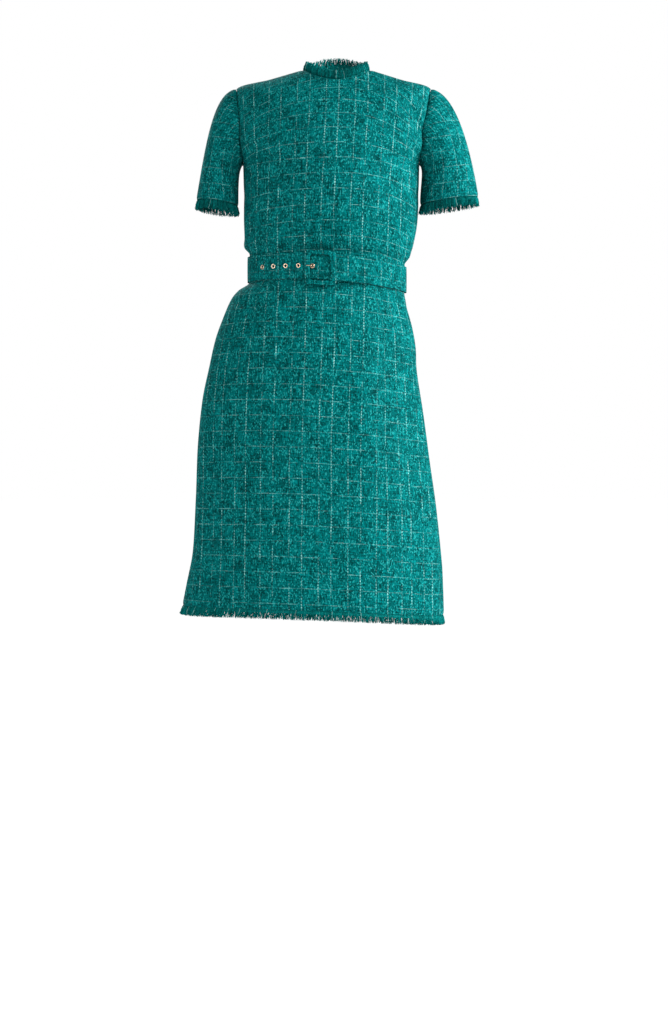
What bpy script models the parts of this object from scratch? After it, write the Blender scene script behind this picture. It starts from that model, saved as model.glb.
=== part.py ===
"""A worn sheath dress in tweed: bodice, set-in short sleeves, A-line skirt, frayed trims and a covered belt.

Metres, +Z up. The front faces -Y and the wearer's left is +X. The origin is the middle of the neck opening,
level with the neck ends of the shoulder seams. All sizes below are in millimetres and become metres when a
mesh is made. The cloth is a wall round the empty hollow that the wearer fills: an angle goes round it, 0 at
the centre front, 90 at the wearer's left side and 180 at the centre back.
"""

import math
from collections import namedtuple

import bmesh
import bpy
from mathutils import Matrix, Vector

MM = 0.001
CLOTH = 1.8  # tweed with its backing
SEAM_GAP = 0.3
WAIST_Z = -340.0
HEM_BAND = 6.0  # woven part of each frayed trim
FRINGE = 10.0  # loose threads of each frayed trim

# One loop of cloth round the figure. The bodice's loops climb from the waist seam over the shoulders to the
# neck, and along is measured up the side seam, the armhole and the shoulder seam. The skirt's loops go down,
# and along is measured down the side seam. drop lowers the wearer's left side, where the hip is lower.
Loop = namedtuple("Loop", "along z_front z_side z_back centre half front back drop")
BODICE = [
    Loop(0, -340, -340, -340, -16, 132.5, 96, 84, 17),
    Loop(24, -316, -316, -316, -16, 132.8, 96.3, 84.3, 17),
    Loop(36, -304, -304, -304, -16, 142, 106, 92, 15),
    Loop(52, -288, -288, -288, -13, 144.5, 111, 94, 12),
    Loop(86, -254, -254, -254, -10, 148.5, 121, 97, 6),
    Loop(120, -220, -220, -220, -9, 149.5, 123.5, 100, 2),
    Loop(172, -168, -168, -168, -9, 150.5, 118, 103, 0),
    Loop(212, -131, -128, -127, -9, 170, 111, 104, 0),
    Loop(262, -99, -80, -84, -7, 176, 103, 100, 0),
    Loop(309, -73, -35, -48, -5, 166, 93, 90, 0),
    Loop(364, -51, -19, -18, -2, 112, 80, 76, 0),
    Loop(421, -27, -3, 12, 0, 59, 62, 58, 0),
]
SKIRT = [
    Loop(0, -340, -340, -340, -16, 132.5, 96, 84, 17),
    Loop(24, -364, -364, -364, -16.5, 132.8, 96.3, 84.5, 17),
    Loop(38, -378, -378, -378, -25, 143.5, 97.2, 96, 17),
    Loop(52, -392, -392, -392, -29.5, 150.5, 102, 103, 17),
    Loop(86, -426, -426, -426, -32.3, 162.7, 111.5, 112, 17),
    Loop(121, -461, -461, -461, -35.7, 171.8, 118, 120, 17),
    Loop(155, -495, -495, -495, -39, 176.5, 121, 125, 17),
    Loop(224, -564, -564, -564, -41, 189, 125, 129, 17),
    Loop(293, -633, -633, -633, -40, 197.5, 128, 129, 17),
    Loop(396, -736, -736, -736, -35, 207, 133, 132, 17),
    Loop(482, -822, -822, -822, -33, 214, 138, 139, 17),
    Loop(540, -880, -880, -880, -37, 221, 143, 145, 17),
    Loop(575, -915, -915, -915, -40, 225, 146, 148, 17),
]
NECK = BODICE[-1].along
HEM = SKIRT[-1].along

# Soft folds, drag lines and darts: a line from one angle and height to another, how wide the fold is, and how
# far it stands out, or in where that is below 0.
Fold = namedtuple("Fold", "name angle z end_angle end_z width depth")
BODICE_FOLDS = [
    Fold("right_armpit", -66, -142, -38, -158, 12, -4.0),
    Fold("left_chest", 42, -70, 60, -116, 12, -4.5),
    Fold("back_hollow", 150, -286, 212, -282, 11, -3.0),
    Fold("back_hollow_upper", 204, -258, 158, -262, 12, -2.5),
    Fold("right_dart", -88, -214, -44, -232, 12, -1.6),
    Fold("left_dart", 88, -214, 44, -232, 12, -1.6),
    Fold("right_blade", 205, -120, 214, -215, 22, -2.5),
    Fold("left_blade", 155, -125, 147, -210, 22, -2.2),
]
SKIRT_FOLDS = [
    Fold("left_ridge", 33, -385, 21, -915, 20, 3.5),
    Fold("right_trough", -15, -385, -17, -560, 15, -2.2),
    Fold("right_ridge", -27, -430, -24, -930, 20, 2.5),
    Fold("centre_trough", 4, -560, 2, -930, 26, -2.5),
    Fold("right_side_trough", -58, -640, -54, -930, 24, -4.0),
    Fold("left_side_trough", 57, -600, 50, -930, 24, -4.0),
    Fold("back_left_trough", 152, -560, 148, -930, 26, -5.0),
    Fold("back_right_trough", 207, -600, 212, -930, 26, -4.5),
    Fold("back_left_ridge", 128, -520, 126, -930, 24, 3.5),
    Fold("back_right_ridge", 232, -560, 234, -930, 24, 3.0),
]
BODICE_RADIUS = 125.0  # turns a fold's angle into a distance round the cloth
SKIRT_RADIUS = 175.0

# The armhole is an oval hole about the side line, between these distances up the bodice.
ARMHOLE_LOW = 175.0
ARMHOLE_HIGH = 309.0
ARMHOLE_FRONT = 27.0  # degrees from the side line to the seam at its widest
ARMHOLE_BACK = 27.0
ARMHOLE_STEPS = 10

# A sleeve ends in an oval: its middle, half width, half depth, and how much higher its outer side is.
Cuff = namedtuple("Cuff", "side x y z half depth tilt")
CUFFS = {
    "sleeve_right": Cuff(-1, -204, 4, -233, 36, 56, 5),
    "sleeve_left": Cuff(1, 193, 4, -229, 50, 43, 7),
}

BELT_WIDTH = 43.0
BELT_THICK = 2.6
BELT_STEPS = 56  # round the single layer
BELT_CURVE = Loop(0, WAIST_Z - 4.4, WAIST_Z - 2.6, WAIST_Z - 2.6, -16.2, 133.8, 97.3, 85.5, 17)
LAYER = BELT_THICK + SEAM_GAP
EYELET_PITCH = 23.2
EYELETS = 5
EYELET_HOLE = 2.75
LAST_EYELET = -23.4
STRAP_TIP = 83.0
TIP_ROUND = 13.0  # how much of the strap its round tip takes
LIFT_FROM = -68.0
LIFT_TO = -44.0
# A rolled eyelet's section: distance from its middle, and height above the strap's outer face.
EYELET_PROFILE = [(1.8, -2.2), (2.4, -2.2), (2.4, 0.3), (4.1, 0.3), (3.8, 0.9), (2.3, 1.1)]

BUCKLE_AT = -10.8
BUCKLE_DROP = -2.5
BUCKLE_SIZE = (52.0, 58.0)
BUCKLE_HOLE = (32.0, 42.0)
BUCKLE_CORNER = 7.0
BUCKLE_HOLE_CORNER = 4.0
BUCKLE_THICK = 3.8
BUCKLE_RIM = 1.2  # how far the covered edge rounds off
BAR_WIDE = 4.0
BAR_THICK = 2.0
BAR_REACH = 28.2
BAR_LIFT = 0.6
FRAME_LIFT = 2 * LAYER
PRONG_RADIUS = 0.8
PRONG_ROOT = 1.5  # its lift where it is bent round the bar
PRONG_TIP = 9.5  # how far it reaches past its eyelet

# The concealed zip at the centre back: the slider's width, length and thickness, the way under its bridge
# along the zip and its height, and the pull, which lies a few degrees off the cloth.
ZIP_BELOW_NECK = 15.0
SLIDER = (5.4, 8.0, 1.8)
TUNNEL = (2.4, 1.7)
BRIDGE_WIDE = 1.4
BRIDGE_WALL = 0.9
PULL_LENGTH = 18.0
PULL_THICK = 1.0
PULL_TILT = 6.0
PULL_TOP = 2.1  # half widths
PULL_END = 2.9
PULL_SLOT = (2.1, 2.6)  # the hole that the bridge passes through, wide and long

# Where the cloth's grids have their rows: mm up the bodice, down the skirt and from 0 to 1 down a sleeve.
BODICE_ROWS_BELOW = [SEAM_GAP / 2, 24, 30, 36, 52, 74, 98, 124, 150]
BODICE_ROWS_OVER = [335, 364, 393]
SKIRT_ROWS = [SEAM_GAP / 2, 24, 31, 38, 52, 74, 100, 130, 165, 205, 250, 300, 352, 405, 460, 512, 545]
SLEEVE_ROWS = [0, 0.07, 0.16, 0.27, 0.4, 0.54, 0.7, 0.85, 1.0]
BODICE_COLUMNS = 18  # across a front, and half as many across a back
SKIRT_COLUMNS = 22
STRAP_STATIONS = [LIFT_FROM, -62, -56, -50, LIFT_TO, -34, -24, -14, -4, 6, 16, 26, 36, 46, 57, 67, 71, 75, 78, 80.5, 82.2]
HEM_LOCKS = 110
NECK_LOCKS = 40
CUFF_LOCKS = 30

TWEED = (0.004, 0.145, 0.122)
TRIM = (0.003, 0.105, 0.09)
GOLD = (0.80, 0.52, 0.36)
ZIP_ENAMEL = (0.006, 0.16, 0.135)


# --- curves through the tables ---


def read(table, column, along):
    """A column's value at a distance along the table, on a smooth curve that never overshoots its rows."""
    xs = [row.along for row in table]
    ys = [getattr(row, column) for row in table]
    i = min(max(sum(x <= along for x in xs) - 1, 0), len(xs) - 2)

    def step(k):
        return (ys[k + 1] - ys[k]) / (xs[k + 1] - xs[k])

    def slope(k):
        if k in (0, len(xs) - 1):
            return step(0 if k == 0 else k - 1)
        before, after = step(k - 1), step(k)
        return 0.0 if before * after <= 0 else 2 * before * after / (before + after)

    width = xs[i + 1] - xs[i]
    t = (along - xs[i]) / width
    start, end = slope(i) * width, slope(i + 1) * width
    return (
        ys[i] * (2 * t**3 - 3 * t**2 + 1)
        + start * (t**3 - 2 * t**2 + t)
        + ys[i + 1] * (3 * t**2 - 2 * t**3)
        + end * (t**3 - t**2)
    )


def lean(angle):
    """How much of a loop's drop a point takes: none on the wearer's right, all of it on the left."""
    s = math.sin(math.radians(angle))
    return 0.5 * (s + s * s)


def on_loop(loop, angle):
    """The point of one loop at an angle."""
    s, c = math.sin(math.radians(angle)), math.cos(math.radians(angle))
    depth = loop.front if c > 0 else loop.back
    z_middle = loop.z_front if c > 0 else loop.z_back
    z = loop.z_side + (z_middle - loop.z_side) * c * c
    return Vector((loop.centre + loop.half * s, -depth * c, z - loop.drop * lean(angle)))


def plain(table, angle, along):
    """The cloth's surface with no folds."""
    columns = {name: read(table, name, along) for name in Loop._fields if name != "along"}
    return on_loop(Loop(along=along, **columns), angle)


def fold_height(folds, radius, angle, z):
    """How far the folds move the cloth out at an angle and height."""
    height = 0.0
    for fold in folds:
        turn = (angle - fold.angle + 180) % 360 - 180
        here = Vector((math.radians(turn) * radius, z - fold.z))
        line = Vector((math.radians(fold.end_angle - fold.angle) * radius, fold.end_z - fold.z))
        t = min(max(here.dot(line) / line.length_squared, 0.0), 1.0)
        away = (here - t * line).length / fold.width
        ends = math.sin(math.pi * (0.08 + 0.84 * t)) ** 0.6
        height += fold.depth * ends * math.exp(-away * away)
    return height


def normal_of(surface, angle, along):
    """The outward direction of a surface, from points close to this one."""
    across = surface(angle + 0.5, along) - surface(angle - 0.5, along)
    up = surface(angle, along + 0.5) - surface(angle, along - 0.5)
    return across.cross(up).normalized()


def bodice(angle, along):
    """A point of the bodice with its folds."""
    base = plain(BODICE, angle, along)
    out = normal_of(lambda a, s: plain(BODICE, a, s), angle, along)
    return base + out * fold_height(BODICE_FOLDS, BODICE_RADIUS, angle, base.z)


def skirt(angle, along):
    """A point of the skirt with its folds. Along runs down here, so the direction is turned round."""
    base = plain(SKIRT, angle, along)
    out = -normal_of(lambda a, s: plain(SKIRT, a, s), angle, along)
    return base + out * fold_height(SKIRT_FOLDS, SKIRT_RADIUS, angle, base.z)


# --- making solids ---


def material(name, colour, roughness, metallic=0.0):
    made = bpy.data.materials.new(name)
    made.use_nodes = True
    shader = made.node_tree.nodes["Principled BSDF"]
    shader.inputs["Base Color"].default_value = (*colour, 1.0)
    shader.inputs["Roughness"].default_value = roughness
    shader.inputs["Metallic"].default_value = metallic
    return made


def add_object(name, bm, finish, sharp=50.0):
    """A named object from a bmesh in millimetres, its faces turned outwards and smooth but for its edges."""
    bmesh.ops.recalc_face_normals(bm, faces=bm.faces)
    mesh = bpy.data.meshes.new(name)
    bmesh.ops.scale(bm, vec=(MM, MM, MM), verts=bm.verts)
    bm.to_mesh(mesh)
    bm.free()
    mesh.shade_smooth()
    mesh.set_sharp_from_angle(angle=math.radians(sharp))
    mesh.materials.append(finish)
    made = bpy.data.objects.new(name, mesh)
    bpy.context.collection.objects.link(made)
    return made


def wall(name, outer, inner, finish, closed=False):
    """A closed wall between two grids of points. A closed one joins its last column to its first."""
    bm = bmesh.new()
    out = [[bm.verts.new(p) for p in row] for row in outer]
    inn = [[bm.verts.new(p) for p in row] for row in inner]
    rows, columns = len(out), len(out[0])
    for j in range(rows - 1):
        for i in range(columns if closed else columns - 1):
            k = (i + 1) % columns
            bm.faces.new((out[j][i], out[j][k], out[j + 1][k], out[j + 1][i]))
            bm.faces.new((inn[j][i], inn[j + 1][i], inn[j + 1][k], inn[j][k]))
    for j in (0, rows - 1):
        for i in range(columns if closed else columns - 1):
            k = (i + 1) % columns
            bm.faces.new((out[j][i], inn[j][i], inn[j][k], out[j][k]))
    if not closed:
        for i in (0, columns - 1):
            for j in range(rows - 1):
                bm.faces.new((out[j][i], out[j + 1][i], inn[j + 1][i], inn[j][i]))
    return add_object(name, bm, finish)


def panel(name, surface, turn, rows, columns, limits, finish):
    """One cut piece of cloth: rows along the surface, and columns between two angles that limits gives."""
    outer, inner = [], []
    for along in rows:
        low, high = limits(along)
        angles = [low + (high - low) * i / columns for i in range(columns + 1)]
        outer.append([surface(a, along) for a in angles])
        inner.append([surface(a, along) - CLOTH * turn * normal_of(surface, a, along) for a in angles])
    return wall(name, outer, inner, finish)


# --- the bodice ---


def armhole_gap(along, widest):
    """Degrees between the side line and the armhole seam."""
    middle, span = (ARMHOLE_LOW + ARMHOLE_HIGH) / 2, (ARMHOLE_HIGH - ARMHOLE_LOW) / 2
    across = (along - middle) / span
    return widest * math.sqrt(max(0.0, 1.0 - across * across))


def seam_turn(table, along):
    """Half the gap of a seam as an angle, at a loop's size."""
    size = (read(table, "half", along) + read(table, "front", along)) / 2
    return math.degrees(SEAM_GAP / 2 / size)


def bodice_rows():
    middle, span = (ARMHOLE_LOW + ARMHOLE_HIGH) / 2, (ARMHOLE_HIGH - ARMHOLE_LOW) / 2
    beside = [middle - span * math.cos(math.pi * k / ARMHOLE_STEPS) for k in range(ARMHOLE_STEPS + 1)]
    return [*BODICE_ROWS_BELOW, *beside, *BODICE_ROWS_OVER, NECK]


def make_bodice(finish):
    rows = bodice_rows()

    def front(along):
        edge = 90 - armhole_gap(along, ARMHOLE_FRONT) - seam_turn(BODICE, along)
        return -edge, edge

    def back_left(along):
        turn = seam_turn(BODICE, along)
        return 90 + armhole_gap(along, ARMHOLE_BACK) + turn, 180 - turn

    def back_right(along):
        turn = seam_turn(BODICE, along)
        return 180 + turn, 270 - armhole_gap(along, ARMHOLE_BACK) - turn

    panel("bodice_front", bodice, 1, rows, BODICE_COLUMNS, front, finish)
    panel("bodice_back_left", bodice, 1, rows, BODICE_COLUMNS // 2, back_left, finish)
    panel("bodice_back_right", bodice, 1, rows, BODICE_COLUMNS // 2, back_right, finish)


# --- the skirt ---


def make_skirt(finish):
    rows = [*SKIRT_ROWS, HEM]

    def front(along):
        edge = 90 - seam_turn(SKIRT, along)
        return -edge, edge

    def back_left(along):
        turn = seam_turn(SKIRT, along)
        return 90 + turn, 180 - turn

    def back_right(along):
        turn = seam_turn(SKIRT, along)
        return 180 + turn, 270 - turn

    panel("skirt_front", skirt, -1, rows, SKIRT_COLUMNS, front, finish)
    panel("skirt_back_left", skirt, -1, rows, SKIRT_COLUMNS // 2, back_left, finish)
    panel("skirt_back_right", skirt, -1, rows, SKIRT_COLUMNS // 2, back_right, finish)


# --- the sleeves ---


def armhole(side, turn):
    """A point of the armhole seam. Turn 0 is the shoulder, 90 the front, 180 the armpit and 270 the back."""
    middle, span = (ARMHOLE_LOW + ARMHOLE_HIGH) / 2, (ARMHOLE_HIGH - ARMHOLE_LOW) / 2
    c, s = math.cos(math.radians(turn)), math.sin(math.radians(turn))
    widest = ARMHOLE_FRONT if s > 0 else ARMHOLE_BACK
    return bodice(side * (90 - widest * s), middle + span * c)


def cuff_edge(cuff, turn):
    """A point of the cloth's lower edge, above the frayed trim."""
    c, s = math.cos(math.radians(turn)), math.sin(math.radians(turn))
    return Vector((cuff.x + cuff.side * cuff.half * c, cuff.y - cuff.depth * s, cuff.z + HEM_BAND + cuff.tilt * c))


def sleeve(cuff, turn, t):
    """A point of a sleeve: out from the armhole, round over the arm and down to the cuff."""
    c, s = math.cos(math.radians(turn)), math.sin(math.radians(turn))
    start = armhole(cuff.side, turn)
    end = cuff_edge(cuff, turn)
    reach = 23 + 15 * c
    leave = Vector((cuff.side, -0.35 * s, -0.1 - 0.25 * max(0.0, -c))).normalized() * reach
    rise = 68 + 34 * c
    arrive = Vector((-0.17 * cuff.side * max(0.0, c), 0, 1)) * rise
    start = start + leave.normalized() * (SEAM_GAP + 0.5 * max(0.0, -c))
    near, far = start + leave, end + arrive
    r = 1 - t
    return start * r**3 + near * 3 * r * r * t + far * 3 * r * t * t + end * t**3


def make_sleeve(name, cuff, finish):
    turns = [180 * k / ARMHOLE_STEPS for k in range(2 * ARMHOLE_STEPS)]
    outer, inner = [], []
    for t in SLEEVE_ROWS:
        low, high = max(t - 0.01, 0.0), min(t + 0.01, 1.0)
        outer.append([sleeve(cuff, a, t) for a in turns])
        row = []
        for a, point in zip(turns, outer[-1]):
            across = sleeve(cuff, a + 1, t) - sleeve(cuff, a - 1, t)
            down = sleeve(cuff, a, high) - sleeve(cuff, a, low)
            row.append(point + cuff.side * CLOTH * across.cross(down).normalized())
        inner.append(row)
    wall(name, outer, inner, finish, closed=True)


# --- frayed trims ---


def trim(name, edge, out_of, direction, count, finish):
    """A woven strip along an edge, with one lock of threads standing out of each step of it.

    edge(turn) is a point on the edge for a turn from 0 to 1, out_of(turn) points away from the hollow, and
    direction(turn) is the way that the threads run.
    """
    bm = bmesh.new()
    strip, tips = [], []
    for k in range(count):
        turn = k / count
        base, out, way = edge(turn), out_of(turn), direction(turn)
        corners = [base + way * SEAM_GAP, base + way * HEM_BAND]
        strip.append([bm.verts.new(p - out * w) for p in corners for w in (0.0, CLOTH)])
    for k in range(count):
        middle = (k + 0.5) / count
        base, out, way = edge(middle), out_of(middle), direction(middle)
        along = (edge((k + 1) / count) - edge(k / count)) * 0.5
        length = HEM_BAND + FRINGE * (1.0 if k % 3 else 0.82)
        tip = base + way * length + out * 1.2 * math.sin(2.4 * k) + along * 0.25 * math.sin(1.7 * k)
        tips.append([bm.verts.new(tip + along * a - out * w) for a in (-0.42, 0.42) for w in (0.2, CLOTH - 0.2)])
    for k in range(count):
        a, b, lock = strip[k], strip[(k + 1) % count], tips[k]
        bm.faces.new((a[0], b[0], b[2], a[2]))
        bm.faces.new((a[1], a[3], b[3], b[1]))
        bm.faces.new((a[0], a[1], b[1], b[0]))
        bm.faces.new((a[2], b[2], lock[2], lock[0]))
        bm.faces.new((b[3], a[3], lock[1], lock[3]))
        bm.faces.new((a[3], a[2], lock[0], lock[1]))
        bm.faces.new((b[2], b[3], lock[3], lock[2]))
        bm.faces.new((lock[0], lock[2], lock[3], lock[1]))
    return add_object(name, bm, finish, sharp=30.0)


def make_trims(finish):
    def hem_direction(turn):
        return (skirt(360 * turn, HEM) - skirt(360 * turn, HEM - 8)).normalized()

    trim(
        "hem_fringe",
        lambda turn: skirt(360 * turn, HEM),
        lambda turn: -normal_of(skirt, 360 * turn, HEM),
        hem_direction,
        HEM_LOCKS,
        finish,
    )

    def neck_direction(turn):
        up = (bodice(360 * turn, NECK) - bodice(360 * turn, NECK - 6)).normalized()
        return (up + Vector((0, 0, 1.6))).normalized()

    def neck_out(turn):
        across = bodice(360 * turn + 1, NECK) - bodice(360 * turn - 1, NECK)
        return across.cross(neck_direction(turn)).normalized()

    trim("neck_fringe", lambda turn: bodice(360 * turn, NECK), neck_out, neck_direction, NECK_LOCKS, finish)

    for name, cuff in CUFFS.items():
        trim(
            name + "_fringe",
            lambda turn, cuff=cuff: sleeve(cuff, 360 * turn, 1.0),
            lambda turn, cuff=cuff: Vector(
                (cuff.side * math.cos(math.tau * turn), -math.sin(math.tau * turn), 0)
            ),
            lambda turn, cuff=cuff: Vector((0.06 * cuff.side * math.cos(math.tau * turn), 0, -1)).normalized(),
            CUFF_LOCKS,
            finish,
        )


# --- the belt ---


def belt_route():
    """Points round the waist at each quarter of a degree, with the distance from the centre front."""
    route = [(0.0, -180.0)]
    before = on_loop(BELT_CURVE, -180)
    for k in range(1, 4 * 360 + 1):
        angle = -180 + k / 4
        here = on_loop(BELT_CURVE, angle)
        route.append((route[-1][0] + (here - before).length, angle))
        before = here
    middle = next(distance for distance, angle in route if angle >= 0)
    return [(distance - middle, angle) for distance, angle in route]


ROUTE = belt_route()
BELT_ROUND = ROUTE[-1][0] - ROUTE[0][0]


def belt_angle(distance):
    """The angle at a distance round the belt from the centre front, to the wearer's left."""
    distance = (distance - ROUTE[0][0]) % BELT_ROUND + ROUTE[0][0]
    i = min(sum(d <= distance for d, _ in ROUTE) - 1, len(ROUTE) - 2)
    (d0, a0), (d1, a1) = ROUTE[i], ROUTE[i + 1]
    return a0 + (a1 - a0) * (distance - d0) / (d1 - d0)


def belt_point(distance, height, lift):
    """A point at a distance round the waist, a height on the belt and a lift off its inner face."""
    angle = belt_angle(distance)
    across = on_loop(BELT_CURVE, angle + 0.5) - on_loop(BELT_CURVE, angle - 0.5)
    out = Vector((across.y, -across.x, 0)).normalized()
    return on_loop(BELT_CURVE, angle) + Vector((0, 0, height)) + out * lift


def strap_lift(distance):
    """The lift of the holed end's inner face: flat on the dress, then up over the bar and the other end."""
    t = min(max((distance - LIFT_FROM) / (LIFT_TO - LIFT_FROM), 0.0), 1.0)
    return LAYER * t * t * (3 - 2 * t)


def strap_half_width(distance):
    """Half the belt's width, rounded off at the tip."""
    half = BELT_WIDTH / 2
    inside = max(0.0, 1 - (STRAP_TIP - distance) / TIP_ROUND)
    return half * (0.9 * math.sqrt(1 - inside**2) + 0.1)


def make_belt(finish):
    """One strip round the waist, from the bar round the back, through the buckle and over its own start."""
    start = BUCKLE_AT + BAR_WIDE / 2 + SEAM_GAP
    single = BELT_ROUND + LIFT_FROM - start
    stations = [start + single * k / BELT_STEPS for k in range(BELT_STEPS)]
    stations += [*STRAP_STATIONS, STRAP_TIP]
    bm = bmesh.new()
    rings = []
    for k, distance in enumerate(stations):
        upper = k >= BELT_STEPS
        lift = strap_lift(distance) if upper else 0.0
        half = strap_half_width(distance) if upper else BELT_WIDTH / 2
        corners = [(half, lift + BELT_THICK), (half, lift), (-half, lift), (-half, lift + BELT_THICK)]
        rings.append([bm.verts.new(belt_point(distance, h, up)) for h, up in corners])
    for a, b in zip(rings, rings[1:]):
        for i in range(4):
            k = (i + 1) % 4
            bm.faces.new((a[i], b[i], b[k], a[k]))
    bm.faces.new(rings[0])
    bm.faces.new(reversed(rings[-1]))
    belt = add_object("belt", bm, finish)
    for k in range(EYELETS):
        cut_round_hole(belt, strap_frame(LAST_EYELET - k * EYELET_PITCH), EYELET_HOLE, 5 * BELT_THICK)


def strap_frame(distance):
    """A matrix in metres on the strap's outer face: X along it, Y up and Z outwards."""
    run = belt_point(distance + 1, 0, strap_lift(distance + 1)) - belt_point(distance - 1, 0, strap_lift(distance - 1))
    rise = Vector((0, 0, 1))
    out = run.cross(rise).normalized()
    across = rise.cross(out)
    turned = Matrix((across, rise, out)).transposed().to_4x4()
    return Matrix.Translation(belt_point(distance, 0, strap_lift(distance) + BELT_THICK) * MM) @ turned


def cut_round_hole(target, place, radius, depth):
    """A hidden round cutter, set square to a surface, and the Boolean that uses it."""
    bm = bmesh.new()
    bmesh.ops.create_cone(bm, cap_ends=True, segments=12, radius1=radius * MM, radius2=radius * MM, depth=depth * MM)
    mesh = bpy.data.meshes.new("hole")
    bm.to_mesh(mesh)
    bm.free()
    cutter = bpy.data.objects.new(target.name + "_hole", mesh)
    cutter.matrix_world = place
    hide_cutter(target, cutter, "DIFFERENCE")


def hide_cutter(target, cutter, operation):
    cutter.hide_render = True
    cutter.display_type = "WIRE"
    bpy.context.collection.objects.link(cutter)
    cut = target.modifiers.new(cutter.name, "BOOLEAN")
    cut.operation = operation
    cut.object = cutter


def make_eyelets(finish):
    """A rolled metal ring through each hole: a flange on the strap and a barrel inside it."""
    for k in range(EYELETS):
        bm = bmesh.new()
        verts = [bm.verts.new((radius, 0, height)) for radius, height in EYELET_PROFILE]
        edges = [bm.edges.new((a, b)) for a, b in zip(verts, verts[1:] + verts[:1])]
        bmesh.ops.spin(
            bm,
            geom=verts + edges,
            cent=(0, 0, 0),
            axis=(0, 0, 1),
            angle=math.tau,
            steps=12,
            use_merge=True,
        )
        eyelet = add_object(f"eyelet_{k + 1}", bm, finish, sharp=40.0)
        eyelet.matrix_world = strap_frame(LAST_EYELET - k * EYELET_PITCH)


def rounded(size, corner, per_corner, per_side):
    """The points round a rectangle with round corners, with steps along its sides so that it can bend."""
    width, height = size
    corners = []
    for k in range(4):
        middle_x = (width / 2 - corner) * (1 if k in (0, 3) else -1)
        middle_y = (height / 2 - corner) * (1 if k in (0, 1) else -1)
        for i in range(per_corner + 1):
            turn = math.pi / 2 * (k + i / per_corner)
            corners.append(Vector((middle_x + corner * math.cos(turn), middle_y + corner * math.sin(turn))))
    points = []
    for i, here in enumerate(corners):
        following = corners[(i + 1) % len(corners)]
        steps = per_side if i % (per_corner + 1) == per_corner else 1
        points += [here.lerp(following, j / steps) for j in range(steps)]
    return points


def make_buckle(cover, metal):
    """A cloth-covered frame that follows the waist, the bar behind it and the prong through the strap."""
    # each ring of the frame's section: outline, corner, how far it is drawn in, and lift
    side = [(0.8, 0.0), (0.0, 1.5), (BUCKLE_RIM, 3.2), (3.6, BUCKLE_THICK)]
    sections = [(BUCKLE_SIZE, BUCKLE_CORNER, inset, FRAME_LIFT + up) for inset, up in side]
    sections += [(BUCKLE_HOLE, BUCKLE_HOLE_CORNER, -inset, FRAME_LIFT + up) for inset, up in reversed(side)]
    bm = bmesh.new()
    loops = []
    for (width, height), corner, inset, up in sections:
        size = (width - 2 * inset, height - 2 * inset)
        points = rounded(size, max(corner - inset, 1.0), 3, 5)
        loops.append([bm.verts.new(belt_point(BUCKLE_AT + x, BUCKLE_DROP + y, up)) for x, y in points])
    for a, b in zip(loops, loops[1:] + loops[:1]):
        count = len(a)
        for i in range(count):
            k = (i + 1) % count
            bm.faces.new((a[i], a[k], b[k], b[i]))
    add_object("buckle_frame", bm, cover)

    top, foot, leg = FRAME_LIFT - SEAM_GAP, BAR_LIFT, BAR_REACH - BAR_THICK
    outline = [(-BAR_REACH, foot), (BAR_REACH, foot), (BAR_REACH, top), (leg, top)]
    outline += [(leg, foot + BAR_THICK), (-leg, foot + BAR_THICK), (-leg, top), (-BAR_REACH, top)]
    bm = bmesh.new()
    left, right = (
        [bm.verts.new(belt_point(BUCKLE_AT + x, BUCKLE_DROP + y, up)) for y, up in outline]
        for x in (-BAR_WIDE / 2, BAR_WIDE / 2)
    )
    for i in range(len(outline)):
        k = (i + 1) % len(outline)
        bm.faces.new((left[i], left[k], right[k], right[i]))
    bm.faces.new(left)
    bm.faces.new(reversed(right))
    add_object("buckle_bar", bm, metal)

    over = FRAME_LIFT + BUCKLE_THICK + SEAM_GAP + PRONG_RADIUS
    hole = LAST_EYELET
    route = [
        (BUCKLE_AT - BAR_WIDE / 2 - SEAM_GAP, PRONG_ROOT),
        (hole + 3.0, PRONG_ROOT),
        (hole + 1.0, 1.9),
        (hole, 3.2),
        (hole, over - 1.8),
        (hole - 0.6, over - 0.6),
        (hole - 2.0, over),
        (hole - 5.5, over),
        (hole - PRONG_TIP, over),
    ]
    curve = bpy.data.curves.new("buckle_prong", "CURVE")
    curve.dimensions = "3D"
    curve.bevel_depth = PRONG_RADIUS * MM
    curve.bevel_resolution = 2
    curve.use_fill_caps = True
    spline = curve.splines.new("POLY")
    spline.points.add(len(route) - 1)
    for point, (distance, up) in zip(spline.points, route):
        point.co = (*(belt_point(distance, 0.0, up) * MM), 1.0)
    curve.materials.append(metal)
    bpy.context.collection.objects.link(bpy.data.objects.new("buckle_prong", curve))


# --- the zip at the centre back ---

def zip_place():
    """A matrix in millimetres on the centre back seam: X to the wearer's right, Y up the zip, Z outwards."""
    along = NECK - ZIP_BELOW_NECK
    up = (bodice(180, along + 2) - bodice(180, along - 2)).normalized()
    out = normal_of(bodice, 180, along)
    across = up.cross(out)
    turned = Matrix((across, up, out)).transposed().to_4x4()
    return Matrix.Translation(bodice(180, along)) @ turned


def box(bm, low, high):
    """A box between two corners."""
    size = [b - a for a, b in zip(low, high)]
    middle = [(a + b) / 2 for a, b in zip(low, high)]
    made = bmesh.ops.create_cube(bm, size=1.0)
    bmesh.ops.scale(bm, vec=size, verts=made["verts"])
    bmesh.ops.translate(bm, vec=middle, verts=made["verts"])


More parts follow.
